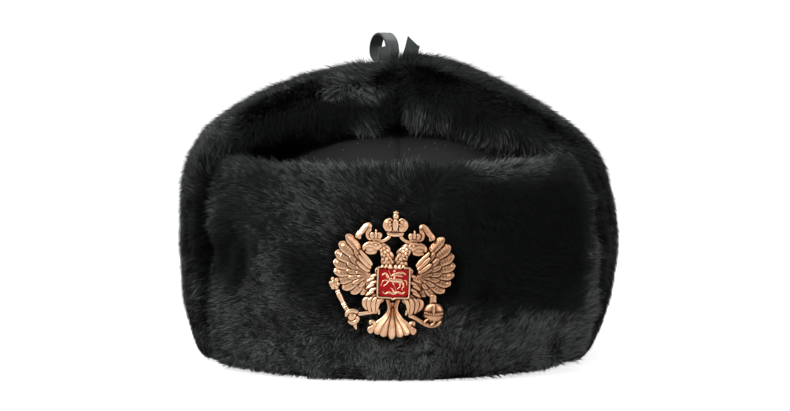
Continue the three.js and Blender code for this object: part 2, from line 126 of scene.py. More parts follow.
# The cloth. The band's and the crown's sizes are the frame's.
band_low, band_high = (Vector(corner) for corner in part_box("head_band"))
BAND_HALF = (band_high - band_low) / 2
BAND_WALL = 3 * MM
CROWN_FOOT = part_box("crown_front_left")[0][2]
CROWN_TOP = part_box("crown_front_left")[1][2]
CROWN_ROUNDNESS = 1.8
CROWN_SHOULDER = 0.6
CROWN_CLOTH = 2.1 * MM
CLOTH_SKIN = 0.15 * MM  # how far the cloth lies inside the frame's faces
SEAM_GAP = 0.08 * MM
SEAM_LAP = 1.2 * MM  # how far one gore's seam reaches under the next
LAP_REACH = 5 * MM  # how far from the seam the lap fades out
SEAM_DIP = 0.75 * MM  # how deep a seam draws the cloth in
SEAM_HALF = 1.3 * MM  # and how far to each side of it
CLOTH_SAG = 0.5 * MM
PUCKER = 0.35 * MM  # how high the cloth puckers along a seam
PUCKER_RUN = 2.6 * MM  # along the seam, for each radian of its wave
PUCKER_REACH = 3 * MM
BAND_WAVES = 19
BAND_WAVE = 0.12 * MM
TWILL_PITCH = 0.62 * MM
STITCH_PITCH = 2.6 * MM
THREAD_RADIUS = 0.24 * MM
# The tape's sizes are in millimetres, as its routes are.
TAPE_WIDTH = 8
TAPE_HALF = 0.27  # half its thickness
SELVEDGE = 0.17  # how much thicker each face is there
TAPE_CUP = 0.25
RIB_PITCH = 0.5 * MM
THREAD_PITCH = 0.35 * MM


def table(columns, rows):
    """Rows of numbers as arrays under named columns."""
    return dict(zip(columns.split(), np.array(rows, float).T))


class Field:
    """A node socket that takes part in sums and products, which add their nodes."""

    def __init__(self, graph, socket):
        self.graph = graph
        self.socket = socket

    def output(self, name):
        return Field(self.graph, self.socket.node.outputs[name])

    def __add__(self, other):
        return self.graph.maths("ADD", self, other)

    def __radd__(self, other):
        return self.graph.maths("ADD", other, self)

    def __sub__(self, other):
        return self.graph.maths("SUBTRACT", self, other)

    def __rsub__(self, other):
        return self.graph.maths("SUBTRACT", other, self)

    def __mul__(self, other):
        return self.graph.maths("MULTIPLY", self, other)

    def __rmul__(self, other):
        return self.graph.maths("MULTIPLY", other, self)

    def __truediv__(self, other):
        return self.graph.maths("DIVIDE", self, other)

    def __pow__(self, other):
        return self.graph.maths("POWER", self, other)


class Graph:
    """Adds nodes to one tree."""

    def __init__(self, tree):
        self.tree = tree

    def node(self, kind, settings=None, values=None, output=0):
        made = self.tree.nodes.new(kind)
        for name, value in (settings or {}).items():
            if name == "stops":
                self.set_stops(made.color_ramp, value)
            else:
                setattr(made, name, value)
        for key, value in (values or {}).items():
            socket = made.inputs[key]
            if isinstance(value, Field):
                self.tree.links.new(value.socket, socket)
            else:
                socket.default_value = value
        return Field(self, made.outputs[output]) if len(made.outputs) else made

    def set_stops(self, ramp, stops):
        while len(ramp.elements) < len(stops):
            ramp.elements.new(1)
        for element, (place, colour) in zip(ramp.elements, stops):
            element.position = place
            element.color = (*colour, 1)

    def maths(self, operation, *values, output=0):
        def is_vector(value):
            return isinstance(value, tuple) or (
                isinstance(value, Field) and value.socket.type in ("VECTOR", "RGBA")
            )

        if any(is_vector(value) for value in values):
            values = [(value,) * 3 if isinstance(value, (int, float)) else value for value in values]
            kind = "ShaderNodeVectorMath"
        else:
            kind = "ShaderNodeMath"
        return self.node(kind, {"operation": operation}, dict(enumerate(values)), output)

    def dot(self, one, other):
        return self.maths("DOT_PRODUCT", one, other, output="Value")

    def unit(self, vector):
        return self.maths("NORMALIZE", vector)

    def cross(self, one, other):
        return self.maths("CROSS_PRODUCT", one, other)

    def mix(self, share, one, other):
        """Between two floats or vectors, one at share 0 and other at share 1."""
        return one + (other - one) * share


class Look(Graph):
    """The nodes of a new material, around a Principled shader with these values."""

    def __init__(self, name, **constants):
        self.material = bpy.data.materials.new(name)
        self.material.use_nodes = True
        super().__init__(self.material.node_tree)
        self.shader = self.tree.nodes["Principled BSDF"]
        for socket, value in constants.items():
            self.shader.inputs[socket.replace("_", " ")].default_value = value

    def feed(self, **fields):
        for socket, field in fields.items():
            self.tree.links.new(field.socket, self.shader.inputs[socket.replace("_", " ")])

    def place(self):
        return self.node("ShaderNodeTexCoord", output="Object")

    def flat_place(self):
        """Metres across and along a cloth's own flat map."""
        chart = self.node("ShaderNodeUVMap", {"uv_map": "Weave"})
        parts = self.node("ShaderNodeSeparateXYZ", None, {"Vector": chart})
        return parts.output("X"), parts.output("Y")

    def attribute(self, name):
        return self.node("ShaderNodeAttribute", {"attribute_name": name}, output="Fac")

    def noise(self, scale, detail=2):
        """Clouds, as many to the metre as the scale says."""
        values = {"Vector": self.place(), "Scale": scale, "Detail": detail}
        return self.node("ShaderNodeTexNoise", None, values)

    def ramp(self, share, *stops):
        return self.node("ShaderNodeValToRGB", {"stops": stops}, {"Fac": share})

    def bump(self, height, strength, distance):
        values = {"Height": height, "Strength": strength, "Distance": distance}
        self.feed(Normal=self.node("ShaderNodeBump", None, values))


class Growth(Graph):
    """A Geometry Nodes tree with these inputs, and short ways to the nodes that it repeats."""

    def __init__(self, name, **inputs):
        tree = bpy.data.node_groups.new(name, "GeometryNodeTree")
        super().__init__(tree)
        face = tree.interface
        for socket, kind in {"Geometry": "Geometry", **inputs}.items():
            plain = socket.replace("_", " ")
            face.new_socket(plain, in_out="INPUT", socket_type="NodeSocket" + kind)
        face.new_socket("Geometry", in_out="OUTPUT", socket_type="NodeSocketGeometry")
        self.given = self.node("NodeGroupInput").output

    def read(self, name, kind="FLOAT"):
        settings = {"data_type": kind}
        return self.node("GeometryNodeInputNamedAttribute", settings, {"Name": name})

    def store(self, geometry, name, value, kind="FLOAT", domain="POINT"):
        settings = {"data_type": kind, "domain": domain}
        values = {"Geometry": geometry, "Name": name, "Value": value}
        return self.node("GeometryNodeStoreNamedAttribute", settings, values)

    def place_instances(self, shape, values):
        """The shape of an input on points, with these further values, as real geometry."""
        source = self.node("GeometryNodeObjectInfo", None, {"Object": shape}, output="Geometry")
        laid = self.node("GeometryNodeInstanceOnPoints", None, {"Instance": source, **values})
        return self.node("GeometryNodeRealizeInstances", None, {"Geometry": laid})

    def finish(self, geometry):
        values = {"Geometry": geometry, "Material": self.given("Material")}
        dressed = self.node("GeometryNodeSetMaterial", None, values)
        self.node("NodeGroupOutput", None, {"Geometry": dressed})

    def grow(self, obj, inputs):
        """Runs the tree on an object and keeps what it makes as the object's plain mesh."""
        modifier = obj.modifiers.new(self.tree.name, "NODES")
        modifier.node_group = self.tree
        for item in self.tree.interface.items_tree:
            if item.in_out == "INPUT" and item.name in inputs:
                modifier[item.identifier] = inputs[item.name]
        return apply_modifiers(obj)


# Meshes.


def link(obj):
    bpy.context.scene.collection.objects.link(obj)
    return obj


def mesh_object(name, vertices, faces):
    mesh = bpy.data.meshes.new(name)
    mesh.from_pydata([tuple(v) for v in vertices], [], faces)
    mesh.update()
    return link(bpy.data.objects.new(name, mesh))


def apply_modifiers(obj):
    """Turns what the modifiers make into the object's plain mesh."""
    graph = bpy.context.evaluated_depsgraph_get()
    made = bpy.data.meshes.new_from_object(obj.evaluated_get(graph))
    obj.modifiers.clear()
    obj.data = made
    return obj


@contextmanager
def editing(mesh):
    """The mesh as a BMesh, which is written back at the end."""
    work = bmesh.new()
    work.from_mesh(mesh)
    yield work
    work.to_mesh(mesh)
    work.free()


def face_outwards(obj):
    with editing(obj.data) as work:
        bmesh.ops.recalc_face_normals(work, faces=work.faces)


def smooth_shade(obj, crease):
    obj.data.polygons.foreach_set("use_smooth", [True] * len(obj.data.polygons))
    obj.data.set_sharp_from_angle(angle=math.radians(crease))


def soften(obj, times):
    modifier = obj.modifiers.new("soften", "SMOOTH")
    modifier.factor = 0.5
    modifier.iterations = times


def read_rows(items, field, width):
    """A field of a mesh's vertices, faces or the like, as rows of this many numbers."""
    found = np.empty(len(items) * width, np.float32)
    items.foreach_get(field, found)
    return found.reshape(-1, width).astype(float)


def points_of(mesh):
    return read_rows(mesh.vertices, "co", 3)


def normals_of(mesh):
    return read_rows(mesh.vertex_normals, "vector", 3)


def set_points(mesh, points):
    mesh.vertices.foreach_set("co", points.astype(np.float32).ravel())
    mesh.update()


def set_attribute(mesh, name, values):
    """Stores a number at each point, or a vector where each value is a row."""
    values = np.asarray(values, np.float32)
    kind, field = ("FLOAT", "value") if values.ndim == 1 else ("FLOAT_VECTOR", "vector")
    made = mesh.attributes.new(name, kind, "POINT")
    made.data.foreach_set(field, values.ravel())


def tube_faces(rings, around, first=0, closed=False):
    """Faces between rings of points: the last ring meets the first one, or both ends are capped."""
    faces = []
    for i in range(rings if closed else rings - 1):
        near, far = first + i * around, first + (i + 1) % rings * around
        for j in range(around):
            k = (j + 1) % around
            faces.append((near + j, near + k, far + k, far + j))
    if not closed:
        last = first + (rings - 1) * around
        faces += [tuple(range(first, first + around)), tuple(range(last, last + around))]
    return faces


def all_walls(left_out=()):
    """The points and faces of the frame's solids, but for the ones whose names start like these."""
    points, faces = [], []
    for name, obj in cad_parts.items():
        if name.startswith(tuple(left_out)):
            continue
        first = len(points)
        points += [v.co for v in obj.data.vertices]
        faces += [[first + i for i in p.vertices] for p in obj.data.polygons]
    return points, faces


def smoothstep(low, high, values):
    share = np.clip((values - low) / (high - low), 0, 1)
    return share * share * (3 - 2 * share)


def unit_rows(vectors):
    return vectors / np.maximum(np.linalg.norm(vectors, axis=1, keepdims=True), 1e-9)


def smooth_rows(rows, places):
    """Rows of numbers at these shares of the way along a spline through the given rows."""
    rows = np.array(rows, float)
    padded = np.vstack([2 * rows[0] - rows[1], rows, 2 * rows[-1] - rows[-2]])
    spans = len(rows) - 1
    at = np.clip(places, 0, 1) * spans
    first = np.minimum(at.astype(int), spans - 1)
    t = (at - first)[:, None]
    before, here, after, beyond = (padded[first + k] for k in range(4))
    bend = 2 * before - 5 * here + 4 * after - beyond
    twist = 3 * (here - after) + beyond - before
    return 0.5 * (2 * here + (after - before) * t + bend * t**2 + twist * t**3)


def lengths_along(points):
    """How far along a line through these points each of them lies."""
    return np.concatenate([[0], np.cumsum(np.linalg.norm(np.diff(points, axis=0), axis=1))])


# The fur.


def fur_material():
    look = Look("black_pile", Specular_IOR_Level=0.08)
    tone = look.attribute("tone")
    # The colour is painted light and shade: each patch's shade makes lit places lighter and shadowed ones
    # darker, over a random tone, and each strand is painted darker towards its root, as shade deep in the
    # pile, and lighter at its tip, as a painted sheen.
    light = tone * (0.25 + 0.75 * look.attribute("along"))
    dark, middle, tip = (0.0052, 0.0059, 0.0058), (0.0235, 0.0260, 0.0250), (0.204, 0.216, 0.206)
    look.feed(
        Base_Color=look.ramp(light, (0, dark), (0.5, middle), (1, tip)),
        Roughness=0.8 - 0.4 * tone,
    )
    return look.material


def hide_material():
    look = Look("fur_hide", Roughness=0.9, Specular_IOR_Level=0.1)
    specks = look.noise(900, 3)
    look.feed(Base_Color=look.ramp(specks, (0.3, (0.001,) * 3), (0.7, (0.004,) * 3)))
    return look.material


def merged_copy(node, name):
    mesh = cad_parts[node].data.copy()
    mesh.materials.clear()
    with editing(mesh) as work:
        bmesh.ops.remove_doubles(work, verts=work.verts, dist=1e-6)
    return link(bpy.data.objects.new(name, mesh))


def fill_bore(obj):
    """Closes the hole behind the badge, which the pile would otherwise grow into."""
    sunk = 0.3 * MM
    middle = BADGE_AT + Vector((0, sunk + PLUG_LENGTH / 2, 0))
    size = {"radius1": PLUG_RADIUS, "radius2": PLUG_RADIUS, "depth": PLUG_LENGTH}
    with editing(obj.data) as work:
        plug = bmesh.ops.create_cone(work, cap_ends=True, segments=16, **size)
        for vertex in plug["verts"]:
            x, y, z = vertex.co
            vertex.co = middle + Vector((x, z, y))
        faces = list({face for vertex in plug["verts"] for face in vertex.link_faces})
        bmesh.ops.recalc_face_normals(work, faces=faces)


# Creases and hollows of the hides, in millimetres: their middle, reach and depth, which is below 0
# where the hide swells instead.
HOLLOWS = {
    "front_flap": table("x y z reach depth", [
        (-97, -99, 62, 9, 6),
        (-92, -105, 74, 6, 5.5),
        (-86, -111, 67, 6, 5.5),
        (-86, -111, 56, 6, 5),
        (-87, -110, 46, 6, 3.5),
        (101, -97, 94, 15, -4.5),
        (102, -97, 64, 16, -5),
        (101, -97, 34, 14, -4),
    ]),
    "ear_flap_left": table("x y z reach depth", [
        (-108, -50, 116, 12, 4.5),
        (-106, -40, 127, 15, 4.5),
        (-91, -30, 139, 14, 4),
        (-76, -34, 147, 12, 3),
    ]),
}


def thin_inset(mesh, points, normals):
    """The pile's depth, or less where the flap is too thin for it."""
    corners = [vertex.co for vertex in mesh.vertices]
    tree = BVHTree.FromPolygons(corners, [list(face.vertices) for face in mesh.polygons])
    inset = np.full(len(points), PILE_INSET)
    for i, (point, normal) in enumerate(zip(points, normals)):
        start = Vector(point) - Vector(normal) * 0.2 * MM
        thickness = tree.ray_cast(start, -Vector(normal))[3]
        if thickness is not None:
            inset[i] = min(PILE_INSET, THIN_SHARE * thickness)
    return inset


def free_share(node, points):
    """Near 0 where the flap meets the band, the crown or another flap, and 1 away from them."""
    others = BVHTree.FromPolygons(*all_walls((node, "badge", "tie")))
    gap = [others.find_nearest(Vector(point), HOLD_SEARCH)[3] for point in points]
    gap = np.array([HOLD_SEARCH if distance is None else distance for distance in gap])
    return 0.06 + 0.94 * smoothstep(HELD_GAP, FREE_GAP, gap)


def hollowed(node, points):
    """How much deeper the creases and hollows of a hide lie."""
    deeper = np.zeros(len(points))
    for x, y, z, reach, depth in zip(*HOLLOWS.get(node, {}).values()):
        away = np.linalg.norm(points - np.array([x, y, z]) * MM, axis=1) / (reach * MM)
        deeper += depth * MM * np.exp(-(away**2))
    return deeper


def hide(node):
    """The skin under the pile: the node's form, evenly meshed and set in by the pile's depth."""
    obj = merged_copy(node, node + "_hide")
    if node == "front_flap":
        fill_bore(obj)
    remesh = obj.modifiers.new("remesh", "REMESH")
    remesh.mode = "VOXEL"
    remesh.voxel_size = HIDE_CELL
    soften(obj, 4)
    apply_modifiers(obj)
    mesh = obj.data
    points, normals = points_of(mesh), normals_of(mesh)
    inset = thin_inset(mesh, points, normals) * free_share(node, points)
    if node.startswith("ear_flap"):
        from_tip = smoothstep(0, TIP_REACH, np.abs(points[:, 0]))
        inset = (inset + TIP_SWELL) * from_tip - TIP_SWELL
    inset += hollowed(node, points)
    set_in = points - normals * inset[:, None]
    # The lower rim is pressed flat on what it stands on.
    underside = smoothstep(0.2, 0.6, -normals[:, 2])
    lowest = points[:, 2] + RIM_SINK
    set_in[:, 2] += underside * np.minimum(0, lowest - set_in[:, 2])
    set_points(mesh, set_in)
    set_attribute(mesh, "inset", inset)
    soften(obj, 3)
    return apply_modifiers(obj)


def openness(points, normals, tree, rays=14, reach=0.25):
    """The share of rays from each point that leave the hat without meeting it or the floor."""
    turn = math.pi * (3 - math.sqrt(5))
    heights = (np.arange(rays) + 0.5) / rays
    around = np.arange(rays) * turn
    flat = np.sqrt(1 - heights**2)
    fan = np.stack([flat * np.cos(around), flat * np.sin(around), heights], 1)
    free = np.zeros(len(points))
    helper = np.where(np.abs(normals[:, 2:3]) < 0.9, [[0.0, 0.0, 1.0]], [[1.0, 0.0, 0.0]])
    side = unit_rows(np.cross(helper, normals))
    other = np.cross(normals, side)
    for x, y, z in fan:
        directions = side * x + other * y + normals * z
        for i, direction in enumerate(directions):
            start = Vector(points[i])
            if direction[2] < 0 and start.z + direction[2] * reach < 0:
                continue
            free[i] += tree.ray_cast(start, Vector(direction), reach)[0] is None
    return free / rays


# How the pile lies, patch by patch, from the middle of each patch outwards. right, back and up
# are the way it is combed, lean runs from upright at 0 to flat at 1, length is a share of the
# usual one, and shade is painted light and shade: how light the tips are painted, lighter where
# the hat is lit and darker where it lies in shadow.
PATCH = "x y z reach right back up lean length shade"
GROOMING = {
    "front_flap": table(PATCH, [
        (-76, -100, 113, 16, -0.6, 0.4, 1.0, 0.45, 1.20, 0.55),
        (-35, -112, 114, 20, -0.5, 0.5, 1.0, 0.50, 1.20, 0.85),
        (5, -116, 114, 20, -0.1, 0.5, 1.0, 0.50, 1.20, 0.80),
        (38, -120, 114, 8, 0.8, 0.2, 0.9, 0.45, 1.50, 1.70),
        (51, -117, 114, 8, 0.8, 0.2, 0.9, 0.45, 1.50, 1.80),
        (64, -112, 113, 8, 0.8, 0.2, 0.8, 0.45, 1.50, 1.75),
        (76, -106, 113, 7, 0.8, 0.2, 0.7, 0.45, 1.40, 1.35),
        (88, -96, 114, 10, 0.7, 0.5, 0.4, 0.50, 0.85, 0.38),
        (22, -136, 103, 9, 0.30, 0, -0.5, 0.60, 0.70, 0.00),
        (38, -133, 103, 8, 0.40, 0, -0.5, 0.60, 0.70, 0.00),
        (52, -129, 103, 8, 0.50, 0, -0.5, 0.60, 0.70, 0.00),
        (66, -122, 103, 8, 0.60, 0, -0.4, 0.60, 0.70, 0.00),
        (78, -114, 103, 8, 0.60, 0, -0.4, 0.60, 0.70, 0.00),
        (90, -103, 104, 8, 0.70, 0, -0.3, 0.60, 0.65, 0.04),
        (48, -132, 96, 9, 0.50, 0, -0.5, 0.60, 0.70, 0.00),
        (80, -115, 96, 9, 0.60, 0, -0.4, 0.60, 0.70, 0.00),
        (-80, -118, 90, 20, -0.95, 0, 0.30, 0.50, 0.90, 0.48),
        (-40, -136, 86, 22, -0.90, 0, 0.45, 0.60, 0.85, 0.80),
        (-5, -140, 88, 16, -0.80, 0, 0.50, 0.58, 0.95, 0.50),
        (28, -139, 88, 16, 0.30, 0, -0.5, 0.60, 0.75, 0.03),
        (34, -137, 66, 16, 0.30, 0, -0.5, 0.60, 0.70, 0.02),
        (62, -128, 80, 24, 0.50, 0, -0.5, 0.60, 0.70, 0.00),
        (86, -112, 84, 20, 0.70, 0, -0.3, 0.60, 0.65, 0.00),
        (80, -117, 52, 14, 0.50, 0, 0.3, 0.50, 0.70, 0.03),
        (44, -135, 46, 8, 0.30, 0, 0.4, 0.50, 0.70, 0.02),
        (60, -128, 44, 8, 0.40, 0, 0.4, 0.50, 0.70, 0.02),
        (40, -136, 34, 7, 0.30, 0, 0.5, 0.50, 0.75, 0.30),
        (56, -131, 33, 7, 0.40, 0, 0.5, 0.50, 0.75, 0.36),
        (76, -119, 41, 8, 0.50, 0, 0.4, 0.50, 0.70, 0.12),
        (90, -108, 38, 7, 0.60, 0, 0.3, 0.50, 0.70, 0.24),
        (45, -134, 69, 3.5, 0.4, 0, 0.6, 0.50, 0.80, 0.60),
        (57, -124, 106, 3.5, 0.6, 0, -0.6, 0.50, 0.90, 1.80),
        (71, -124, 91, 2, 0.2, 0, 0.9, 0.60, 0.90, 1.00),
        (-97, -98, 92, 14, -1.0, -0.2, 0.0, 0.42, 1.30, 0.56),
        (-97, -99, 62, 9, -1.0, -0.2, -0.3, 0.40, 0.40, 0.00),
        (-90, -107, 73, 10, -0.4, 0, -0.4, 0.50, 0.35, 0.00),
        (-87, -110, 62, 10, -0.4, 0, -0.4, 0.50, 0.38, 0.00),
        (-88, -110, 51, 6, -0.4, 0, -0.4, 0.40, 0.60, 0.05),
        (-99, -96, 32, 18, -1.0, -0.2, -0.1, 0.40, 0.90, 0.70),
        (-48, -134, 59, 12, -0.6, 0, 0.1, 0.42, 0.80, 0.14),
        (-68, -124, 50, 13, -0.4, 0, 0.2, 0.42, 0.55, 1.00),
        (-72, -122, 24, 16, -0.4, 0, 0.2, 0.42, 0.55, 1.05),
        (-35, -138, 44, 16, -0.5, 0, -0.1, 0.45, 0.65, 0.52),
        (-38, -138, 16, 16, -0.3, 0, -0.2, 0.42, 0.58, 0.90),
        (0, -140, 14, 16, 0.1, 0, 0.3, 0.42, 0.58, 1.35),
        (-62, -124, 3, 8, -0.3, 0, 0.8, 0.45, 0.45, 0.90),
        (-22, -136, 3, 8, 0, 0, 0.8, 0.45, 0.45, 1.35),
        (22, -136, 3, 8, 0, 0, 0.8, 0.45, 0.45, 1.35),
        (62, -124, 3, 8, 0.3, 0, 0.8, 0.45, 0.45, 1.00),
        (36, -137, 18, 13, 0.3, 0, 0.8, 0.50, 0.90, 1.10),
        (66, -125, 16, 14, 0.35, 0, 0.9, 0.55, 0.90, 1.60),
        (92, -106, 18, 12, 0.5, 0, 0.7, 0.50, 0.95, 1.15),
        (98, -92, 102, 6, 1.0, -0.3, 0.3, 0.34, 1.00, 0.70),
        (100, -91, 90, 6, 1.0, -0.3, 0.1, 0.34, 1.05, 0.95),
        (101, -91, 78, 6, 1.0, -0.3, 0.1, 0.34, 1.05, 1.10),
        (102, -91, 64, 7, 1.0, -0.3, 0.1, 0.34, 1.10, 1.20),
        (101, -91, 50, 7, 1.0, -0.3, 0.1, 0.34, 1.10, 1.25),
        (101, -92, 34, 8, 1.0, -0.3, 0.1, 0.34, 1.10, 1.25),
        (98, -93, 18, 8, 1.0, -0.3, 0.1, 0.40, 0.90, 1.10),
        (-70, -112, -2, 14, -0.3, 0, -1, 0.60, 0.35, 0.75),
        (0, -130, -2, 20, 0, 0, -1, 0.60, 0.35, 0.85),
        (70, -112, -2, 14, 0.3, 0, -1, 0.60, 0.35, 0.85),
    ]),
    "neck_flap": table(PATCH, [
        (-70, 105, 114, 22, -0.5, -0.5, 1.0, 0.50, 1.10, 0.88),
        (0, 118, 114, 26, 0.1, -0.5, 1.0, 0.50, 1.10, 0.91),
        (70, 105, 114, 22, 0.5, -0.5, 1.0, 0.50, 1.10, 0.81),
        (-70, 122, 75, 28, -0.8, 0, -0.3, 0.50, 1.00, 0.81),
        (0, 140, 80, 30, 0.3, 0, -0.7, 0.52, 1.00, 0.77),
        (70, 122, 75, 28, 0.8, 0, -0.3, 0.50, 1.00, 0.70),
        (-70, 122, 28, 24, -0.4, 0, -0.5, 0.35, 0.95, 0.88),
        (0, 140, 28, 26, -0.1, 0, -0.5, 0.35, 0.95, 0.88),
        (70, 122, 28, 24, 0.4, 0, -0.5, 0.35, 0.95, 0.81),
        (0, 130, -2, 26, 0, 0, -1, 0.60, 0.35, 0.88),
        (-70, 112, -2, 20, -0.3, 0, -1, 0.60, 0.35, 0.88),
        (70, 112, -2, 20, 0.3, 0, -1, 0.60, 0.35, 0.88),
    ]),
    "ear_flap_left": table(PATCH, [
        (-108, 0, 0, 24, -0.3, 0, -1, 0.60, 0.35, 0.45),
        (-105, -55, 2, 20, -0.3, -0.5, -1, 0.60, 0.38, 0.50),
        (-105, 55, 2, 20, -0.3, 0.5, -1, 0.60, 0.38, 0.45),
        (-122, 0, 55, 34, -0.2, 0.2, -0.7, 0.45, 0.95, 0.85),
        (-114, -62, 35, 20, -0.8, -0.4, -0.2, 0.40, 0.95, 0.78),
        (-116, -62, 84, 16, -0.9, -0.4, 0.1, 0.45, 0.95, 0.56),
        (-105, -70, 76, 12, -0.9, -0.4, 0.1, 0.50, 0.55, 0.00),
        (-108, -68, 58, 8, -0.9, -0.4, 0.1, 0.50, 0.55, 0.05),
        (-114, 62, 60, 30, -0.8, 0.4, -0.4, 0.45, 0.95, 0.80),
        (-110, -58, 110, 10, -0.3, -0.2, 1.0, 0.35, 1.45, 0.95),
        (-102, -66, 108, 8, 0.5, -0.3, 0.9, 0.50, 1.50, 0.80),
        (-104, -40, 128, 11, 0.1, -0.4, 0.9, 0.30, 1.50, 1.15),
        (-90, -34, 139, 11, 0.0, -0.6, 0.6, 0.30, 1.50, 1.15),
        (-92, -62, 130, 9, -0.8, 0.2, 0.6, 0.45, 1.40, 0.80),
        (-74, -36, 148, 10, -0.4, -0.3, 0.9, 0.34, 1.20, 0.80),
        (-62, -54, 149, 9, -0.2, -0.6, 0.5, 0.50, 1.20, 0.75),
        (-74, -52, 143, 8, -0.4, -0.5, 0.7, 0.50, 1.30, 0.65),
        (-50, -44, 155, 10, 0.1, -0.5, 0.6, 0.45, 0.95, 0.72),
        (-80, -68, 130, 10, -0.2, -0.9, -0.4, 0.62, 0.70, 0.00),
        (-60, -73, 130, 12, -0.2, -0.9, -0.4, 0.62, 0.70, 0.00),
        (-42, -72, 126, 12, 0.2, -0.9, -0.4, 0.62, 0.70, 0.00),
        (-60, -66, 139, 9, 0.2, -0.9, -0.3, 0.60, 0.70, 0.00),
        (-30, -74, 138, 10, 0.4, -0.9, -0.4, 0.62, 0.70, 0.00),
        (-20, -73, 128, 6, -0.2, -0.1, -1.0, 0.80, 1.40, 1.35),
        (-6, -74, 136, 8, 0.4, -0.6, -0.4, 0.60, 0.75, 0.00),
        (-34, -62, 152, 6, -0.1, -0.3, -1.0, 0.80, 1.40, 1.40),
        (-22, -66, 151, 6, 0.15, -0.3, -1.0, 0.80, 1.40, 1.50),
        (-13, -68, 149, 4, 0.4, -0.3, -1.0, 0.80, 1.30, 0.80),
        (-4, -60, 151, 6, 0.8, -0.6, -0.2, 0.52, 0.90, 0.05),
        (-55, 0, 164, 30, -0.6, 0.1, 0.2, 0.50, 1.05, 0.60),
        (-100, 0, 135, 26, -0.8, -0.1, 0.4, 0.50, 1.05, 0.70),
        (-55, 62, 150, 24, -0.3, 0.9, -0.2, 0.50, 1.05, 0.70),
        (-12, 50, 158, 14, 0.2, 0.7, -0.2, 0.50, 1.10, 0.65),
    ]),
    "ear_flap_right": table(PATCH, [
        (102, 0, 0, 24, 0.3, 0, -1, 0.60, 0.35, 0.45),
        (100, -55, 2, 20, 0.3, -0.5, -1, 0.60, 0.38, 0.45),
        (100, 55, 2, 20, 0.3, 0.5, -1, 0.60, 0.38, 0.45),
        (121, 0, 52, 34, 0.2, 0.2, -0.7, 0.45, 0.75, 0.80),
        (113, -63, 38, 22, 0.7, -0.5, -0.3, 0.50, 0.70, 0.50),
        (114, -62, 78, 20, 0.8, -0.4, -0.1, 0.50, 0.70, 0.56),
        (104, -68, 70, 9, 0.5, -0.4, -0.3, 0.50, 0.70, 0.20),
        (114, 62, 60, 30, 0.8, 0.4, -0.4, 0.45, 0.90, 0.78),
        (106, -60, 110, 14, 0.8, -0.3, 0.2, 0.45, 0.75, 0.30),
        (88, -56, 128, 12, 0.5, -0.6, 0.0, 0.55, 0.70, 0.12),
        (66, -62, 134, 14, 0.5, -0.6, 0.0, 0.60, 0.65, 0.04),
        (62, -48, 148, 10, 0.5, -0.4, 0.4, 0.55, 0.65, 0.12),
        (38, -66, 144, 14, 0.3, -0.8, -0.2, 0.60, 0.65, 0.02),
        (14, -66, 150, 12, -0.6, -0.7, -0.2, 0.58, 0.80, 0.02),
        (52, -46, 152, 3, 0.8, -0.4, -0.5, 0.50, 0.80, 0.50),
        (64, -47, 146, 3, 0.8, -0.4, -0.5, 0.50, 0.80, 0.50),
        (75, -50, 139, 3, 0.8, -0.4, -0.5, 0.50, 0.80, 0.50),
        (85, -52, 132, 3, 0.8, -0.4, -0.5, 0.50, 0.80, 0.45),
        (2, -75, 132, 4, -0.4, -0.1, -1.0, 0.78, 1.20, 0.80),
        (12, -75, 138, 6, 0.1, -0.1, -1.0, 0.80, 1.25, 1.30),
        (22, -73, 134, 5, 0.0, -0.1, -1.0, 0.80, 1.20, 1.15),
        (32, -72, 126, 5, -0.7, -0.1, -1.0, 0.78, 1.20, 1.00),
        (44, -71, 123, 6, -0.6, -0.2, -1.0, 0.76, 1.25, 1.15),
        (56, -71, 121, 7, -0.5, -0.3, -1.0, 0.74, 1.35, 1.35),
        (66, -71, 118, 7, -0.3, -0.3, -1.0, 0.74, 1.70, 1.45),
        (77, -71, 116, 7, -0.1, -0.4, -1.0, 0.72, 1.70, 1.45),
        (88, -69, 114, 7, 0.5, -0.4, -0.8, 0.60, 1.20, 0.90),
        (50, 0, 166, 30, 0.6, 0.1, 0.2, 0.50, 1.00, 0.50),
        (96, 0, 132, 28, 0.8, 0.1, -0.1, 0.50, 1.00, 0.60),
        (50, 62, 152, 24, 0.3, 0.9, -0.2, 0.50, 1.05, 0.65),
        (10, 50, 160, 14, -0.2, 0.7, -0.2, 0.50, 1.10, 0.65),
    ]),
}


def groomed(node, points):
    """The comb direction, lean, length and painted light and shade of a flap's pile at these points."""
    patches = GROOMING[node]
    middles = np.stack([patches["x"], patches["y"], patches["z"]], 1) * MM
    away = np.linalg.norm(points[:, None, :] - middles, axis=2) / (patches["reach"] * MM)
    weights = np.exp(-(away**2)) + 1e-6 / (0.2 + away) ** 4
    weights /= weights.sum(1, keepdims=True)
    comb = weights @ np.stack([patches["right"], patches["back"], patches["up"]], 1)
    return comb, weights @ patches["lean"], weights @ patches["length"], weights @ patches["shade"]


def strand_blade(stops):
    """One flat strand: a narrow strip that ends in a point. Its shape is set where it grows."""
    vertices = [(side, along, 0) for along, share in stops for side in (-share, share)] + [(0, 1, 0)]
    faces = [(2 * i, 2 * i + 1, 2 * i + 3, 2 * i + 2) for i in range(len(stops) - 1)]
    faces.append((2 * len(stops) - 2, 2 * len(stops) - 1, 2 * len(stops)))
    blade = mesh_object("strand_blade", vertices, faces)
    set_attribute(blade.data, "strand_side", [v[0] for v in vertices])
    set_attribute(blade.data, "along", [v[1] for v in vertices])
    return blade


def scatter(g, density, seed):
    """Random points on the skin, with this many to the square metre."""
    values = {"Mesh": g.given("Geometry"), "Density": density, "Seed": seed}
    settings = {"distribute_method": "RANDOM"}
    return g.node("GeometryNodeDistributePointsOnFaces", settings, values)


def random_value(g, low, high, seed, by=None):
    """A random number for each point, or for each value of by."""
    values = {2: low, 3: high, 8: seed}
    if by is not None:
        values[7] = by
    return g.node("FunctionNodeRandomValue", {"data_type": "FLOAT"}, values, output=1)


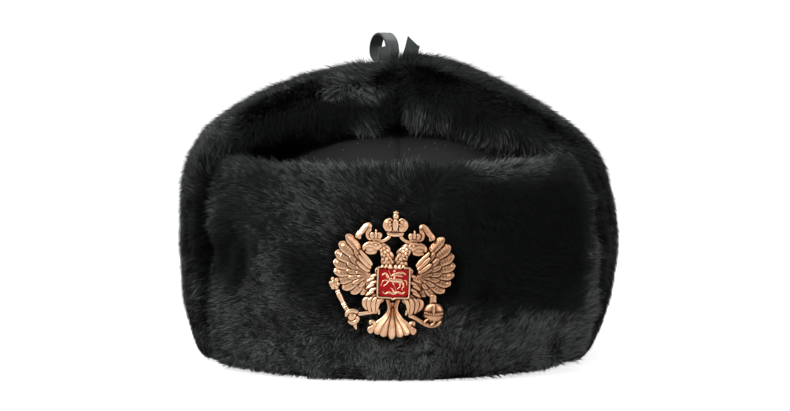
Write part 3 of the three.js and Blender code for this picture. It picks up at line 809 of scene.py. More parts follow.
def swirl(g, size, seed):
    """Smooth random vectors, about -0.5 to 0.5, with features of this size."""
    place = g.node("GeometryNodeInputPosition") + (0.37 * seed, 0.11 * seed, 0.23 * seed)
    values = {"Vector": place, "Scale": 1 / size, "Detail": 1.0}
    return g.node("ShaderNodeTexNoise", None, values, output="Color") - 0.5


def tuft_values(g, position):
    """For each root, the middle of the nearest tuft, and a random tone that its tuft shares."""
    size = g.given("Tuft Size")
    tufts = scatter(g, g.read("cover") / (size * size), g.given("Seed") + 1)
    nearest = g.node("GeometryNodeSampleNearest", {"domain": "POINT"}, {"Geometry": tufts})
    settings = {"data_type": "FLOAT_VECTOR", "domain": "POINT"}
    values = {"Geometry": tufts, "Value": position, "Index": nearest}
    middle = g.node("GeometryNodeSampleIndex", settings, values)
    return middle, random_value(g, 0.0, 1.0, 5, nearest)


def strand_painted_light_and_tone(g, tuft_tone):
    """How light each strand is: its patch's painted light and shade times a random tone, rounded to one of
    the steps.
    """
    mottled = 1 + 0.7 * g.dot(swirl(g, TONE_SWIRL, 5), (1.0, 0.0, 0.0))
    spread = (0.5 + 0.9 * random_value(g, 0.0, 1.0, 13) ** 1.5) * (0.7 + 0.6 * tuft_tone)
    tone = g.read("shade") * mottled * spread
    steps = TONES * TONES - 1
    return g.maths("ROUND", g.maths("MINIMUM", tone, 1.0) * steps) / steps


def strand_roots(g):
    """A point for each strand, with all that its blade needs to be bent by."""
    roots = scatter(g, g.given("Strands per m2") * g.read("cover"), g.given("Seed"))
    normal = roots.output("Normal")
    position = g.node("GeometryNodeInputPosition")
    tuft_middle, tuft_tone = tuft_values(g, position)
    comb = g.read("comb", "FLOAT_VECTOR") + swirl(g, WIDE_SWIRL, 1) * 1.1 + swirl(g, NARROW_SWIRL, 2)
    comb = g.unit(comb - normal * g.dot(comb, normal))
    lean = g.read("lean") + random_value(g, -0.16, 0.16, 11)
    lean = lean + 0.35 * g.dot(swirl(g, LEAN_SWIRL, 4), (0.0, 1.0, 0.0))
    start = g.unit(normal * (RISE_AT_ROOT - lean) + comb * lean)
    end = g.unit(normal * (RISE_AT_TIP - lean) + comb * (lean + 0.15) + (0.0, 0.0, -DROOP))
    reach = g.given("Length") * g.read("pile") * random_value(g, 0.72, 1.12, 12)
    reach = reach * (1 + 0.5 * g.dot(swirl(g, LENGTH_SWIRL, 3), (1.0, 0.0, 0.0)))
    clumped = g.maths("MINIMUM", g.read("pile") ** 2.0, TUFT_LIMIT)
    pull = (tuft_middle - position) * (g.given("Tuft Pull") * clumped)
    grown = roots
    for name, value, kind in [
        ("strand_root", position, "FLOAT_VECTOR"),
        ("strand_normal", normal, "FLOAT_VECTOR"),
        ("strand_start", start * reach, "FLOAT_VECTOR"),
        ("strand_end", end * reach, "FLOAT_VECTOR"),
        ("strand_pull", pull, "FLOAT_VECTOR"),
        ("strand_roll", random_value(g, -0.9, 0.9, 14), "FLOAT"),
        ("strand_half", g.given("Width") * random_value(g, 0.35, 0.65, 15), "FLOAT"),
        ("tone", strand_painted_light_and_tone(g, tuft_tone), "FLOAT"),
    ]:
        grown = g.store(grown, name, value, kind)
    return grown


def bent(g, blades):
    """The blades, each along its own curve, which leaves the skin as start and comes to lie as end."""
    along, roll = g.read("along"), g.read("strand_roll")
    start, end, pull, root, normal = (
        g.read("strand_" + name, "FLOAT_VECTOR") for name in ("start", "end", "pull", "root", "normal")
    )
    late = 0.5 * along * along
    middle = root + start * (along - late) + end * late + pull * (along * along)
    forward = g.mix(along, start, end)
    across = g.unit(g.cross(forward, normal))
    lifted = g.unit(g.cross(forward, across))
    across = across * g.maths("COSINE", roll) + lifted * g.maths("SINE", roll)
    place = middle + across * (g.read("strand_side") * g.read("strand_half"))
    return g.node("GeometryNodeSetPosition", None, {"Geometry": blades, "Position": place})


def with_tone_chart(g, strands):
    """Lays every strand in the baked picture's cell for its painted light and tone, with its root at the
    cell's foot.
    """
    cell = g.maths("ROUND", g.read("tone") * (TONES * TONES - 1))
    row = g.maths("FLOOR", cell / TONES)
    column = cell - row * TONES
    across = (column + 0.5 + 0.35 * g.read("strand_side")) / TONES
    up = (row + 0.1 + 0.8 * g.read("along")) / TONES
    chart = g.node("ShaderNodeCombineXYZ", None, {"X": across, "Y": up})
    return g.store(strands, "OFBake", chart, "FLOAT2", "CORNER")


def strand_growth():
    """Strands that grow from a skin by its attributes: cover, comb, lean, pile and shade."""
    g = Growth(
        "fur_strands", Blade="Object", Material="Material", Strands_per_m2="Float", Length="Float",
        Width="Float", Tuft_Size="Float", Tuft_Pull="Float", Seed="Int",
    )
    grown = g.place_instances(g.given("Blade"), {"Points": strand_roots(g)})
    grown = with_tone_chart(g, bent(g, grown))
    for name in ("strand_*", "UVMap"):
        values = {"Geometry": grown, "Name": name}
        grown = g.node("GeometryNodeRemoveAttribute", {"pattern_mode": "WILDCARD"}, values)
    g.finish(grown)
    return g


def join_objects(name, parts):
    """One object from several, each of them at the origin."""
    with bpy.context.temp_override(active_object=parts[0], selected_editable_objects=parts):
        bpy.ops.object.join()
    parts[0].name = name
    return parts[0]


def pile_values(node, mesh, hat):
    """What the pile grows by at each of a hide's points."""
    points, normals = points_of(mesh), normals_of(mesh)
    comb, lean, length, shade = groomed(node, points)
    inset = read_rows(mesh.attributes["inset"].data, "value", 1)[:, 0]
    above = np.maximum(inset, PILE_INSET) + OPEN_ABOVE
    open_share = openness(points + normals * above[:, None], normals, hat)
    stands = smoothstep(-0.95, -0.6, normals[:, 2]) + (points[:, 2] > BARE_BELOW)
    cover = np.clip(smoothstep(SHUT_IN, OPEN, open_share) * stands, 0, 1)
    return {"cover": cover, "comb": comb, "lean": lean, "pile": length, "shade": shade}


def badge_limit(points):
    """How far forward the pile may reach: behind the badge, or a good way out beside it."""
    across = (points[:, 0] - BADGE_AT.x) / BADGE_REACH.x
    up = (points[:, 2] - BADGE_AT.z - BADGE_RISE) / BADGE_REACH.y
    beside = smoothstep(*BADGE_EDGE, np.hypot(across, up))
    return BADGE_AT.y + PILE_SUNK - PILE_REACH * beside


def grow_pile(node, name, skin, values, growth, blades, material):
    """The strands of one flap, or of half of it, as a mesh of their own."""
    triangles = PILE_TRIANGLES[node] // 1
    source = link(bpy.data.objects.new("pile_source", skin.data.copy()))
    for key, numbers in values.items():
        set_attribute(source.data, key, numbers)
    areas = read_rows(skin.data.polygons, "area", 1)[:, 0]
    covers = [values["cover"][list(face.vertices)].mean() for face in skin.data.polygons]
    covered = float((areas * covers).sum())
    layers = []
    for number, (kind, layer) in enumerate(PILE_LAYERS.items()):
        per_strand = 2 * len(layer["stops"]) - 1
        inputs = {
            "Blade": blades[kind],
            "Material": material,
            "Strands per m2": triangles * layer["share"] / per_strand / covered,
            "Length": layer["length"],
            "Width": layer["width"],
            "Tuft Size": TUFT_SIZE,
            "Tuft Pull": layer["pull"],
            "Seed": SEED + number,
        }
        layers.append(growth.grow(link(source.copy()), inputs))
    bpy.data.objects.remove(source)
    pile = join_objects(name, layers)
    grown = points_of(pile.data)
    grown[:, 2] = np.maximum(grown[:, 2], STRAND_FOOT)
    if node == "front_flap":
        grown[:, 1] = np.maximum(grown[:, 1], badge_limit(grown))
    set_points(pile.data, grown)
    return pile


def build_fur():
    hat = BVHTree.FromPolygons(*all_walls())
    growth, pile_look, skin_look = strand_growth(), fur_material(), hide_material()
    blades = {kind: strand_blade(layer["stops"]) for kind, layer in PILE_LAYERS.items()}
    for node in GROOMING:
        skin = hide(node)
        skin.data.materials.append(skin_look)
        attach(skin, "root")
        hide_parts(node)
        values = pile_values(node, skin.data, hat)
        across = points_of(skin.data)[:, 0]
        parts = {"": True}
        if node == "front_flap":
            parts = {"_left": across < 0, "_right": across > 0}
        for suffix, where in parts.items():
            kept = {**values, "cover": values["cover"] * where}
            pile = grow_pile(node, node + "_fur" + suffix, skin, kept, growth, blades, pile_look)
            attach(pile, "root")
    for blade in blades.values():
        bpy.data.objects.remove(blade)


# The badge. Its strokes are in millimetres on its flat back: u to a viewer's right, v up, and the
# height that a stroke's sides reach, with a dome on them that rises further.


class Relief:
    """Raised strokes on a flat back, and a chart of how high they reach."""

    CELL = 0.25
    REACH = 42
    THINNEST = 0.08

    def __init__(self):
        self.points = []
        self.faces = []
        self.count = 0
        side = int(2 * self.REACH / self.CELL)
        self.chart = np.zeros((side, side))

    def cells(self, u, v):
        side = len(self.chart) - 1
        return tuple(np.clip(((w + self.REACH) / self.CELL).astype(int), 0, side) for w in (u, v))

    def surface(self, rows, low, rise, stations, across, ends, crest, slant, barbs, on_top):
        """The stroke's upper face as sections across it: places, heights and the dome's foot."""
        even = np.linspace(0, 1, stations)
        path = smooth_rows(rows, 0.5 * even + 0.25 * (1 - np.cos(np.pi * even)))
        middle, half = path[:, :2], np.maximum(path[:, 2], self.THINNEST)
        forward = unit_rows(np.gradient(middle, axis=0))
        side = np.stack([-forward[:, 1], forward[:, 0]], 1)
        gone = lengths_along(middle)
        swell = np.ones(stations)
        for end, from_end in zip(ends, (gone, gone[-1] - gone)):
            if end:
                swell *= np.sqrt(1 - (1 - np.clip(from_end / (half * end), 0, 1)) ** 2)
        swell = np.maximum(swell, 0.04)[:, None]
        base = np.full(stations, float(low))
        if on_top:
            base = base + self.chart[self.cells(*middle.T)]
            base = smooth_rows(base[:: max(1, stations // 5), None], even)[:, 0]
        angle = np.linspace(-np.pi / 2, np.pi / 2, across)[None, :]
        t, dome = np.sin(angle), np.cos(angle)
        width = half[:, None] * swell * t
        place = middle[:, None, :] + side[:, None, :] * width[..., None]
        height = base[:, None] + rise * dome * swell**0.5 + slant * t * swell
        height = height + crest * np.clip(1 - 3 * np.abs(t), 0, 1) * swell
        if barbs:
            pitch, depth = barbs
            wave = 0.5 + 0.5 * np.cos(2 * np.pi * (gone[:, None] - 0.8 * np.abs(width)) / pitch)
            height = height - depth * wave * dome
        return place, height, base

    def stroke(
        self, rows, low, rise, stations=12, across=7,
        ends=(1, 1), crest=0, slant=0, barbs=None, on_top=False,
    ):
        """Adds a stroke: rows are u, v and half width, and ends say how long each end is rounded."""
        shape = (ends, crest, slant, barbs, on_top)
        place, height, base = self.surface(rows, low, rise, stations, across, *shape)
        foot = np.maximum(base - 0.7, 0) if on_top else np.zeros(stations)
        sections = np.concatenate([
            np.dstack([place[:, :1], foot[:, None, None]]),
            np.dstack([place, height]),
            np.dstack([place[:, -1:], foot[:, None, None]]),
        ], axis=1)
        self.faces += tube_faces(stations, across + 2, self.count)
        self.points.append(sections.reshape(-1, 3))
        self.count += stations * (across + 2)
        # The chart takes the same face, sampled finely enough to leave no cell out.
        length = sum(math.dist(a[:2], b[:2]) for a, b in zip(rows, rows[1:]))
        fine_along = max(4 * stations, int(3 * length / self.CELL))
        fine_across = max(4 * across, int(8 * max(row[2] for row in rows) / self.CELL))
        place, height, base = self.surface(rows, low, rise, fine_along, fine_across, *shape)
        np.maximum.at(self.chart, self.cells(place[..., 0], place[..., 1]), height)

    def bead(self, u, v, radius, low, rise, on_top=False):
        rows = [(u, v - radius, radius), (u, v + radius, radius)]
        self.stroke(rows, low, rise, 9, 9, on_top=on_top)

    def scales(self, rows, count, lanes, length, half, rise):
        """Small pointed feathers laid like shingles down a stroke that is already made."""
        for number in range(count, 0, -1):
            shift = 0.5 * (number % 2)
            for lane in range(lanes):
                t = (lane + shift + 0.25) / lanes * 1.8 - 0.9
                along = number / count
                path = smooth_rows(rows, np.array([along, max(0, along - 0.02)]))
                forward = unit_rows(path[1:, :2] - path[:1, :2])[0]
                side = np.array([forward[1], -forward[0]])
                start = path[0, :2] + side * t * path[0, 2]
                end = start + forward * length + side * t * 0.25
                widest = 0.45 * start + 0.55 * end
                scale = [(*start, half * 0.7), (*widest, half), (*end, 0.1)]
                self.stroke(scale, -0.1, rise, 8, 5, (0, 0.5), crest=0.1, on_top=True)

    def patina(self):
        """How deep each point lies below its surroundings, as a share, for the patina in the hollows; with
        painted shade added over the wing at +u, the side away from the light.
        """
        level = self.chart
        size = len(level)
        for _ in range(4):
            padded = np.pad(level, 1, mode="edge")
            around = [padded[i : i + size, j : j + size] for i in range(3) for j in range(3)]
            level = sum(around) / 9
        points = np.concatenate(self.points)
        around = level[self.cells(points[:, 0], points[:, 1])]
        darkening = (around - points[:, 2] + 0.02) / 0.45
        # The last term is painted shade: the wing at +u is darkened by up to a fifth, away from the light.
        return np.clip(darkening, 0, 1) * 0.8 + 0.2 * smoothstep(5, 14, points[:, 0])


WING_ROOT = (13.0, 4.8)
BARB_PITCH, BARB_DEPTH = 0.8, 0.22
# A feather's half width from its root to its tip, as shares of the way and of the widest, and the
# widest for the first feather, one near it and the last.
FEATHER_SHAPE = ((0, 0.6), (0.35, 0.84), (0.76, 1.0), (0.93, 0.84), (1, 0.5))
FEATHER_WIDTHS = ((0, 0.12, 1), (3.7, 4.6, 4.4))
# The tips of a wing's outer feathers, from the topmost down.
PRIMARIES = table("u v", [
    (24.6, 23.6),
    (28.0, 19.5),
    (29.9, 14.8),
    (30.7, 9.9),
    (30.4, 5.1),
    (28.9, 0.5),
    (25.9, -3.5),
    (21.3, -5.9),
    (16.4, -6.3),
    (11.9, -4.8),
])
# The tiers of a wing's feathers: the shares of the way from the root to the primary's tip where
# they start and end, and their size and height.
TIERS = table("start end girth low rise", [
    (0.34, 1.02, 1.24, 0.8, 0.62),
    (0.16, 0.64, 1.18, 1.5, 0.60),
    (0.02, 0.37, 1.20, 2.1, 0.55),
])
# Strokes that both halves of the eagle have: a name, the height of their foot, their rise, and
# rows of u, v and half width for the half at +u.
PAIRED = [
    ("wing", 0.4, 0.4, [(8, 0, 3), (13, 1.5, 3.4), (17.5, 6, 5), (20.5, 9, 5.6)]),
    ("wing_edge", 2.5, 0.8, [(11.2, 8.6, 0.8), (12.8, 10.6, 1.2), (15.2, 13.2, 1.2), (17.8, 16.4, 0.6)]),
    ("wing_edge", 2.6, 0.8, [(11.7, 7.2, 0.8), (13.8, 8.9, 1.1), (16, 11.2, 1.2), (18.2, 13.8, 0.6)]),
    ("wing_edge", 2.6, 0.8, [(12.2, 5.8, 0.8), (14.6, 6.9, 1.1), (17, 8.8, 1.1), (19, 10.6, 0.6)]),
    ("neck", 1.4, 1.3, [(3.3, 7.6, 3.4), (3.5, 11.4, 3.0), (4.2, 15, 2.8), (6.2, 18, 2.5),
                        (8.6, 18.8, 2.2)]),
    ("head", 1.8, 1.3, [(6.6, 18.4, 2.0), (9, 18.7, 2.5), (11.8, 18.7, 1.9)]),
    ("brow", 2.8, 0.5, [(7.6, 20, 0.5), (10, 20.5, 0.6), (12.4, 20, 0.5)]),
    ("mouth", 2.2, 0.5, [(9.6, 17.6, 2.4), (12.6, 17.4, 2.1), (14.8, 17.2, 1.3)]),
    ("beak", 1.9, 1.1, [(10.4, 19.0, 1.9), (13.2, 19.2, 1.7), (15.2, 18.2, 1.3), (15.8, 16.2, 0.5)]),
    ("jaw", 1.7, 0.9, [(9.0, 16.4, 1.6), (11.8, 15.4, 1.3), (13.9, 15.5, 0.9), (14.8, 16.0, 0.4)]),
    ("tongue", 1.4, 0.5, [(11.6, 17.4, 0.4), (14.3, 17.3, 0.3)]),
    ("band", 2.0, 0.6, [(2.4, 24.2, 0.9), (4.4, 22.2, 0.8), (7.4, 21.1, 0.8), (11.6, 21.4, 0.7)]),
    ("ribbon_leg", 1.6, 0.6, [(11.4, 22, 0.8), (13.2, 22.8, 1.1), (14, 24.6, 1.1), (13.3, 26.6, 1.1),
                              (12.9, 28.4, 1.0)]),
    ("ribbon_fold", 1.9, 0.7, [(12.4, 27.6, 0.9), (13.4, 29.2, 1.2), (15.2, 28.4, 1.4),
                               (17.2, 25.8, 1.4), (18.9, 23.8, 1.4), (18.8, 22.3, 1.0)]),
    ("ribbon_end", 1.7, 0.6, [(18.6, 23.6, 1.1), (17.6, 22, 0.8)]),
    ("small_crown", 1.7, 0.8, [(7.2, 22.4, 0.9), (9.8, 22.1, 0.9), (12.4, 22.6, 0.9)]),
    ("small_dome", 1.6, 1.1, [(9.8, 21.8, 2.6), (9.8, 23.8, 3.0), (9.8, 25.7, 1.7)]),
    ("small_lobe", 2.2, 0.8, [(8.5, 22.6, 0.9), (7.7, 24.2, 1.2), (8.7, 25.4, 0.8)]),
    ("small_lobe", 2.2, 0.8, [(11, 22.6, 0.9), (11.9, 24.2, 1.2), (10.9, 25.4, 0.8)]),
    ("small_arch", 2.5, 0.7, [(9.8, 22.8, 0.8), (9.8, 24.6, 0.9), (9.8, 26, 0.5)]),
    ("thigh", 1.2, 0.8, [(4.4, -7.6, 2.2), (8.4, -8.6, 3.0), (11.2, -10.6, 3.6), (11.0, -13.0, 2.8),
                         (9.6, -15.2, 1.6)]),
    ("lock", 1.5, 0.9, [(12.2, -7.4, 0.6), (14.4, -9.4, 1.3), (14.2, -12, 1.2), (13, -14.2, 0.3)]),
    ("lock", 1.7, 0.9, [(10.4, -7.2, 0.6), (12.2, -9.6, 1.3), (12, -12.8, 1.2), (11.2, -15.4, 0.3)]),
    ("lock", 1.9, 0.9, [(8.2, -7.2, 0.6), (9.8, -9.8, 1.3), (9.8, -13.2, 1.2), (9.2, -16, 0.3)]),
    ("lock", 1.7, 0.9, [(5.2, -7.4, 0.8), (7.2, -9.6, 1.2), (8, -12.2, 1.1), (7.8, -15, 0.3)]),
    ("tail_side", 1.3, 0.8, [(3.2, -7.6, 0.8), (1.9, -12, 0.8), (2.4, -15.2, 0.9), (5, -18.6, 1.0),
                             (8, -21.2, 1.3), (10.6, -24.4, 1.5), (11, -26.2, 1.2)]),
    ("tail_rib", 1.5, 0.9, [(2.6, -8, 0.8), (1.3, -12.4, 0.8), (2.3, -17, 1.3), (5.4, -21.6, 1.9),
                            (8.4, -26.4, 2.0)]),
    ("tail_rib", 1.6, 1.0, [(0.7, -13, 0.5), (1.3, -17.4, 1.0), (3.1, -22.4, 1.8), (4.7, -27.7, 2.0)]),
    ("tail_curl", 1.5, 0.9, [(8.6, -22.4, 0.9), (9.4, -20.4, 1.0), (11, -20, 0.9), (11.2, -21.6, 0.6)]),
    ("tail_curl", 1.2, 0.8, [(10, -23, 0.9), (11.6, -23.6, 0.9), (11.8, -25.2, 0.7)]),
    ("crown_lobe", 2.3, 1.1, [(1.9, 26.6, 1.5), (3.7, 28.6, 2.2), (3.8, 30.4, 2.1), (2.6, 31.8, 1.3)]),
    ("crown_hoop", 2.5, 0.6, [(4.2, 26.4, 0.5), (5.9, 28.8, 0.5), (5.5, 31.2, 0.5), (3.2, 32.7, 0.5),
                              (1.6, 31.8, 0.4)]),
    ("shield_side", 2.9, 0.7, [(8, 8.6, 0.55), (8.1, 0, 0.5), (8, -6.2, 0.55)]),
    ("shield_foot", 2.9, 0.7, [(8, -6, 0.5), (7.2, -7.3, 0.5), (1.4, -7.4, 0.5), (0, -8.5, 0.5)]),
    ("shield_top", 2.9, 0.7, [(8.2, 8, 0.5), (0, 8.1, 0.5)]),
    ("shield_ear", 2.2, 0.8, [(8.2, 7.6, 0.7), (9.3, 6.4, 0.5), (8.8, 4.8, 0.3)]),
]
# Strokes in the middle or on one side only.
SINGLE = [
    ("crown_body", 1.8, 0.8, [(0, 25, 4.0), (0, 28.6, 5.6), (0, 31.6, 4.4), (0, 33, 1.6)]),
    ("crown_foot", 2.2, 0.7, [(-4.4, 25.4, 0.9), (0, 24.6, 1.0), (4.4, 25.4, 0.9)]),
    ("crown_arch", 2.8, 1.0, [(0, 26.6, 1.1), (0, 29.8, 1.7), (0, 32.8, 0.9)]),
    ("finial", 2.0, 0.9, [(0, 34.2, 0.8), (0, 36.9, 0.6)]),
    ("finial_bar", 2.1, 0.7, [(-1.4, 35.9, 0.5), (1.4, 35.9, 0.5)]),
    ("breast", 1.6, 1.0, [(0, 7, 5), (0, 0, 7), (0, -6, 4)]),
    ("tail_body", 1.2, 0.4, [(0, -10, 2.4), (0, -14, 2.4), (0, -18, 5), (0, -22, 8.6),
                             (0, -25.4, 10.4), (0, -27.6, 9)]),
    ("tail_ridge", 1.8, 1.3, [(0, -12.6, 0.6), (0, -15.4, 0.8), (0, -20, 1.5), (0, -25, 2.1),
                              (0, -28.9, 1.3)]),
    ("sceptre_leg", 1.5, 0.9, [(-9, -14.6, 1.2), (-12.6, -15.6, 1.0), (-17.8, -16.5, 1.1)]),
    ("orb_leg", 1.5, 0.9, [(8, -15.8, 1.3), (11.6, -17.4, 1.0), (15.4, -19.7, 1.1),
                           (19.6, -21.1, 1.2), (23.2, -20.2, 1.0), (24.9, -18.2, 0.5)]),
    ("orb_toe", 2.4, 0.7, [(19.4, -21, 0.7), (21, -19.8, 0.7), (21.4, -17.6, 0.4)]),
    ("orb_toe", 2.2, 0.7, [(16, -20, 0.7), (17, -18.6, 0.6), (18.6, -17.4, 0.35)]),
    ("sceptre_shaft", 1.3, 0.9, [(-28.9, -3.8, 0.8), (-27.4, -7, 1.3), (-25.8, -10, 1.1),
                                 (-24.2, -12.8, 1.3), (-21.6, -16.6, 1.0), (-19.6, -20.6, 0.8),
                                 (-18.6, -23, 0.8), (-18, -24.4, 0.4)]),
    ("sceptre_toe", 2.1, 0.8, [(-17.4, -15.6, 1.0), (-20, -14.7, 1.1), (-22.8, -15.6, 1.1),
                               (-23.8, -18, 0.5)]),
    ("sceptre_toe", 2.1, 0.8, [(-17.2, -17.6, 1.0), (-18.2, -20, 1.1), (-20.4, -21, 1.1),
                               (-22.6, -20, 0.5)]),
    ("orb_stem", 1.3, 0.8, [(20.7, -10.4, 2.6), (20.4, -8.4, 1.7), (20.4, -5.0, 1.8)]),
    # The horse and its rider on the shield.
    ("horse", 3.3, 0.45, [(4.6, 1.2, 0.94), (2.6, 1.5, 1.09), (-0.4, 1.5, 0.94), (-2.6, 2.2, 1.01)]),
    ("horse_neck", 3.3, 0.45, [(-2.6, 2.6, 0.86), (-3.7, 4.6, 0.62), (-4.2, 5.4, 0.47)]),
    ("horse_head", 3.3, 0.45, [(-3.8, 5.3, 0.47), (-5.2, 4.7, 0.39), (-6.1, 3.9, 0.27)]),
    ("foreleg", 3.25, 0.35, [(-2.9, 1.5, 0.47), (-5, 1.4, 0.31), (-6, -0.2, 0.23), (-6.4, -1.4, 0.23)]),
    ("foreleg", 3.25, 0.35, [(-2.4, 1.2, 0.47), (-3.9, -0.6, 0.31), (-5.3, -1.6, 0.23)]),
    ("hind_leg", 3.25, 0.35, [(4.4, 0.8, 0.62), (5.2, -1.2, 0.35), (4.2, -2.6, 0.23), (4.8, -3.4, 0.2)]),
    ("hind_leg", 3.25, 0.35, [(3.2, 0.6, 0.62), (3.2, -1.6, 0.31), (2, -2.6, 0.23)]),
    ("horse_tail", 3.25, 0.35, [(5, 1.8, 0.31), (6.4, 1.4, 0.35), (6.8, -0.8, 0.23)]),
    ("rider_leg", 3.4, 0.3, [(0.5, 2.9, 0.47), (-0.5, 1, 0.31), (0.1, -0.8, 0.27)]),
    ("rider", 3.3, 0.45, [(0.4, 2.7, 0.62), (0.2, 5, 0.66), (0.2, 5.4, 0.39)]),
    ("rider_arm", 3.35, 0.35, [(0.1, 5, 0.31), (-1.2, 4, 0.23), (-1.7, 4.6, 0.23)]),
    ("cloak", 3.25, 0.35, [(0.8, 5, 0.39), (2.8, 5.4, 0.7), (4.6, 5.6, 0.62), (6.2, 4.6, 0.31)]),
    ("cloak", 3.25, 0.3, [(0.9, 4.3, 0.31), (2.8, 4, 0.47), (4.8, 3.7, 0.23)]),
    ("spear", 3.45, 0.25, [(-2.8, 6.9, 0.14), (-0.6, 1.5, 0.14), (1.8, -4.4, 0.14)]),
    ("serpent", 3.25, 0.4, [(6, -3.8, 0.23), (4.6, -5, 0.47), (2.4, -4.3, 0.62), (0.2, -5.2, 0.62),
                            (-2.2, -4.5, 0.55), (-4, -5.3, 0.39), (-5.6, -4.2, 0.31)]),
    ("serpent_wing", 3.25, 0.35, [(0.4, -4.6, 0.47), (-0.6, -2.8, 0.39), (-1.6, -2.2, 0.2)]),
]
# Round bosses: u, v, radius, the height of their foot and their rise.
PAIRED_BEADS = [
    (9.6, 19.3, 0.7, 3.0, 0.5),
    (9.8, 26.4, 0.7, 2.0, 0.9),
]
SINGLE_BEADS = [
    (0, 34.0, 1.6, 2.0, 1.2),
    (0.2, 6.3, 0.72, 3.25, 0.45),
    (20.9, -14.6, 5.5, 0.7, 2.6),
    (-20.4, -17.9, 2.3, 1.6, 1.0),
    (-30.2, -1.4, 2.5, 1.0, 1.7),
    (-31.9, -0.8, 1.0, 2.0, 0.8),
    (-29, 0.6, 1.1, 2.0, 0.8),
    (-31, 1.2, 1.0, 1.6, 0.8),
    (-28.2, -1.4, 1.0, 2.0, 0.8),
    (-30.6, -3.2, 1.1, 1.8, 0.8),
    (-28.8, -3.2, 1.0, 2.0, 0.8),
    (-18.9, -22, 1.1, 1.5, 0.8),
]
CROWN_STONES = [(2.3, 28.0), (3.9, 28.4), (3.0, 29.4), (4.6, 29.8), (3.4, 30.9), (2.3, 30.0)]
SCEPTRE_RINGS = [(-28.3, -5), (-27.9, -5.9), (-25.1, -11.2), (-24.6, -12), (-24.1, -12.9),
                 (-20.4, -18.9)]
# The strokes with a sharp crest along their middle.
FLUTED = {"tail_rib", "tail_ridge", "ribbon_fold"}


def mirrored(rows, side):
    return [(side * row[0], *row[1:]) for row in rows]


def feather_rows(place, side, start, end, half):
    """One wing feather: it starts and ends at these shares of the way to a primary's tip."""
    tips = np.stack([PRIMARIES["u"], PRIMARIES["v"]], 1)
    root = np.array(WING_ROOT)
    reach = smooth_rows(tips, np.array([place]))[0] - root
    bow = np.array([-reach[1], reach[0]]) * 0.10 * (1 - 1.7 * place)
    rows = []
    for along, share in FEATHER_SHAPE:
        at = start + (end - start) * along
        point = root + reach * at + bow * at * (1 - at) * 3
        rows.append((side * point[0], point[1], half * share))
    return rows


def wing_feathers(relief, side):
    for tier, (start, end, girth, low, rise) in enumerate(zip(*TIERS.values())):
        count = len(PRIMARIES["u"]) - 1 - tier
        for number in range(count + 1):
            place = min(number + 0.35 * (tier % 2), count) / count
            half = 0.5 * girth * end * np.interp(place, *FEATHER_WIDTHS) * (1 + 0.12 * tier)
            rows = feather_rows(place, side, start, end, half)
            length = math.dist(rows[0][:2], rows[-1][:2])
            stations = max(10, int(3.4 * length / BARB_PITCH))
            relief.stroke(
                rows, low, rise, stations, 9, (0, 1.6), crest=0.25,
                slant=-0.8 * side, barbs=(BARB_PITCH, BARB_DEPTH),
            )


def body_feathers(relief, side):
    """The short feathers of one half: on the neck, below the thigh and beside the shield."""
    neck = next(rows for name, *_, rows in PAIRED if name == "neck")
    relief.scales(mirrored(neck[:-1], side), 6, 3, 4.4, 1.2, 0.6)
    for number in range(4):
        u = side * (7.2 + 1.5 * number)
        rows = [(u, -13.6, 0.7), (u - 0.4 * side, -16.4 + 0.5 * number, 0.6)]
        relief.stroke(rows, 1.9, 0.6, 8, 5, (0, 1.6))
    for number in range(6):
        u, v = 8.6 + 1.4 * (number % 2), 4.2 - 1.75 * number
        rows = [(side * u, v, 0.7), (side * (u + 2.2), v - 0.9, 1.0), (side * (u + 4), v - 2.4, 0.3)]
        relief.stroke(rows, 2.0 + 0.2 * (number % 2), 0.7, 12, 7, (0, 1), crest=0.15)


def crown_rim(relief):
    """Two rows of beads on the great crown's rim."""
    for number in range(9):
        u = (number - 4) * 1.1
        relief.bead(u, 26.7 + 0.06 * u * u, 0.5, 2.6, 0.5)
        relief.bead(u * 0.9, 24.3 + 0.05 * u * u, 0.4, 2.6, 0.4)


def sceptre_rings(relief):
    for u, v in SCEPTRE_RINGS:
        relief.stroke([(u - 1.1, v - 0.7, 0.35), (u + 1.1, v + 0.7, 0.35)], 2.0, 0.5, 6, 5)


def orb_bands(relief):
    relief.stroke([(16, -14.4, 0.5), (20.9, -15.2, 0.7), (25.8, -14.4, 0.5)], 0, 0.28, 14, 5, on_top=True)
    relief.stroke([(20.9, -14.8, 0.6), (20.8, -9.6, 0.6)], 0, 0.28, 10, 5, on_top=True)
    for number in range(9):
        u, v = 16.6 + number * 1.08, -14.6 - 0.5 * math.sin(number / 8 * math.pi)
        relief.bead(u, v, 0.4, 0.1, 0.3, on_top=True)


def badge_relief():
    relief = Relief()
    for name, low, rise, rows in PAIRED:
        for side in (-1, 1):
            crest = 0.35 if name in FLUTED else 0
            relief.stroke(mirrored(rows, side), low, rise, 10 + 3 * len(rows), 9, crest=crest)
            if name == "wing":
                wing_feathers(relief, side)
    for name, low, rise, rows in SINGLE:
        crest = 0.4 if name in FLUTED else 0
        relief.stroke(rows, low, rise, 8 + 3 * len(rows), 9, crest=crest)
    for side in (-1, 1):
        for u, v, radius, low, rise in PAIRED_BEADS:
            relief.bead(side * u, v, radius, low, rise)
        body_feathers(relief, side)
        for u, v in CROWN_STONES:
            relief.bead(side * u, v, 0.42, 0.1, 0.25, on_top=True)
    for u, v, radius, low, rise in SINGLE_BEADS:
        relief.bead(u, v, radius, low, rise)
    crown_rim(relief)
    sceptre_rings(relief)
    orb_bands(relief)
    return relief


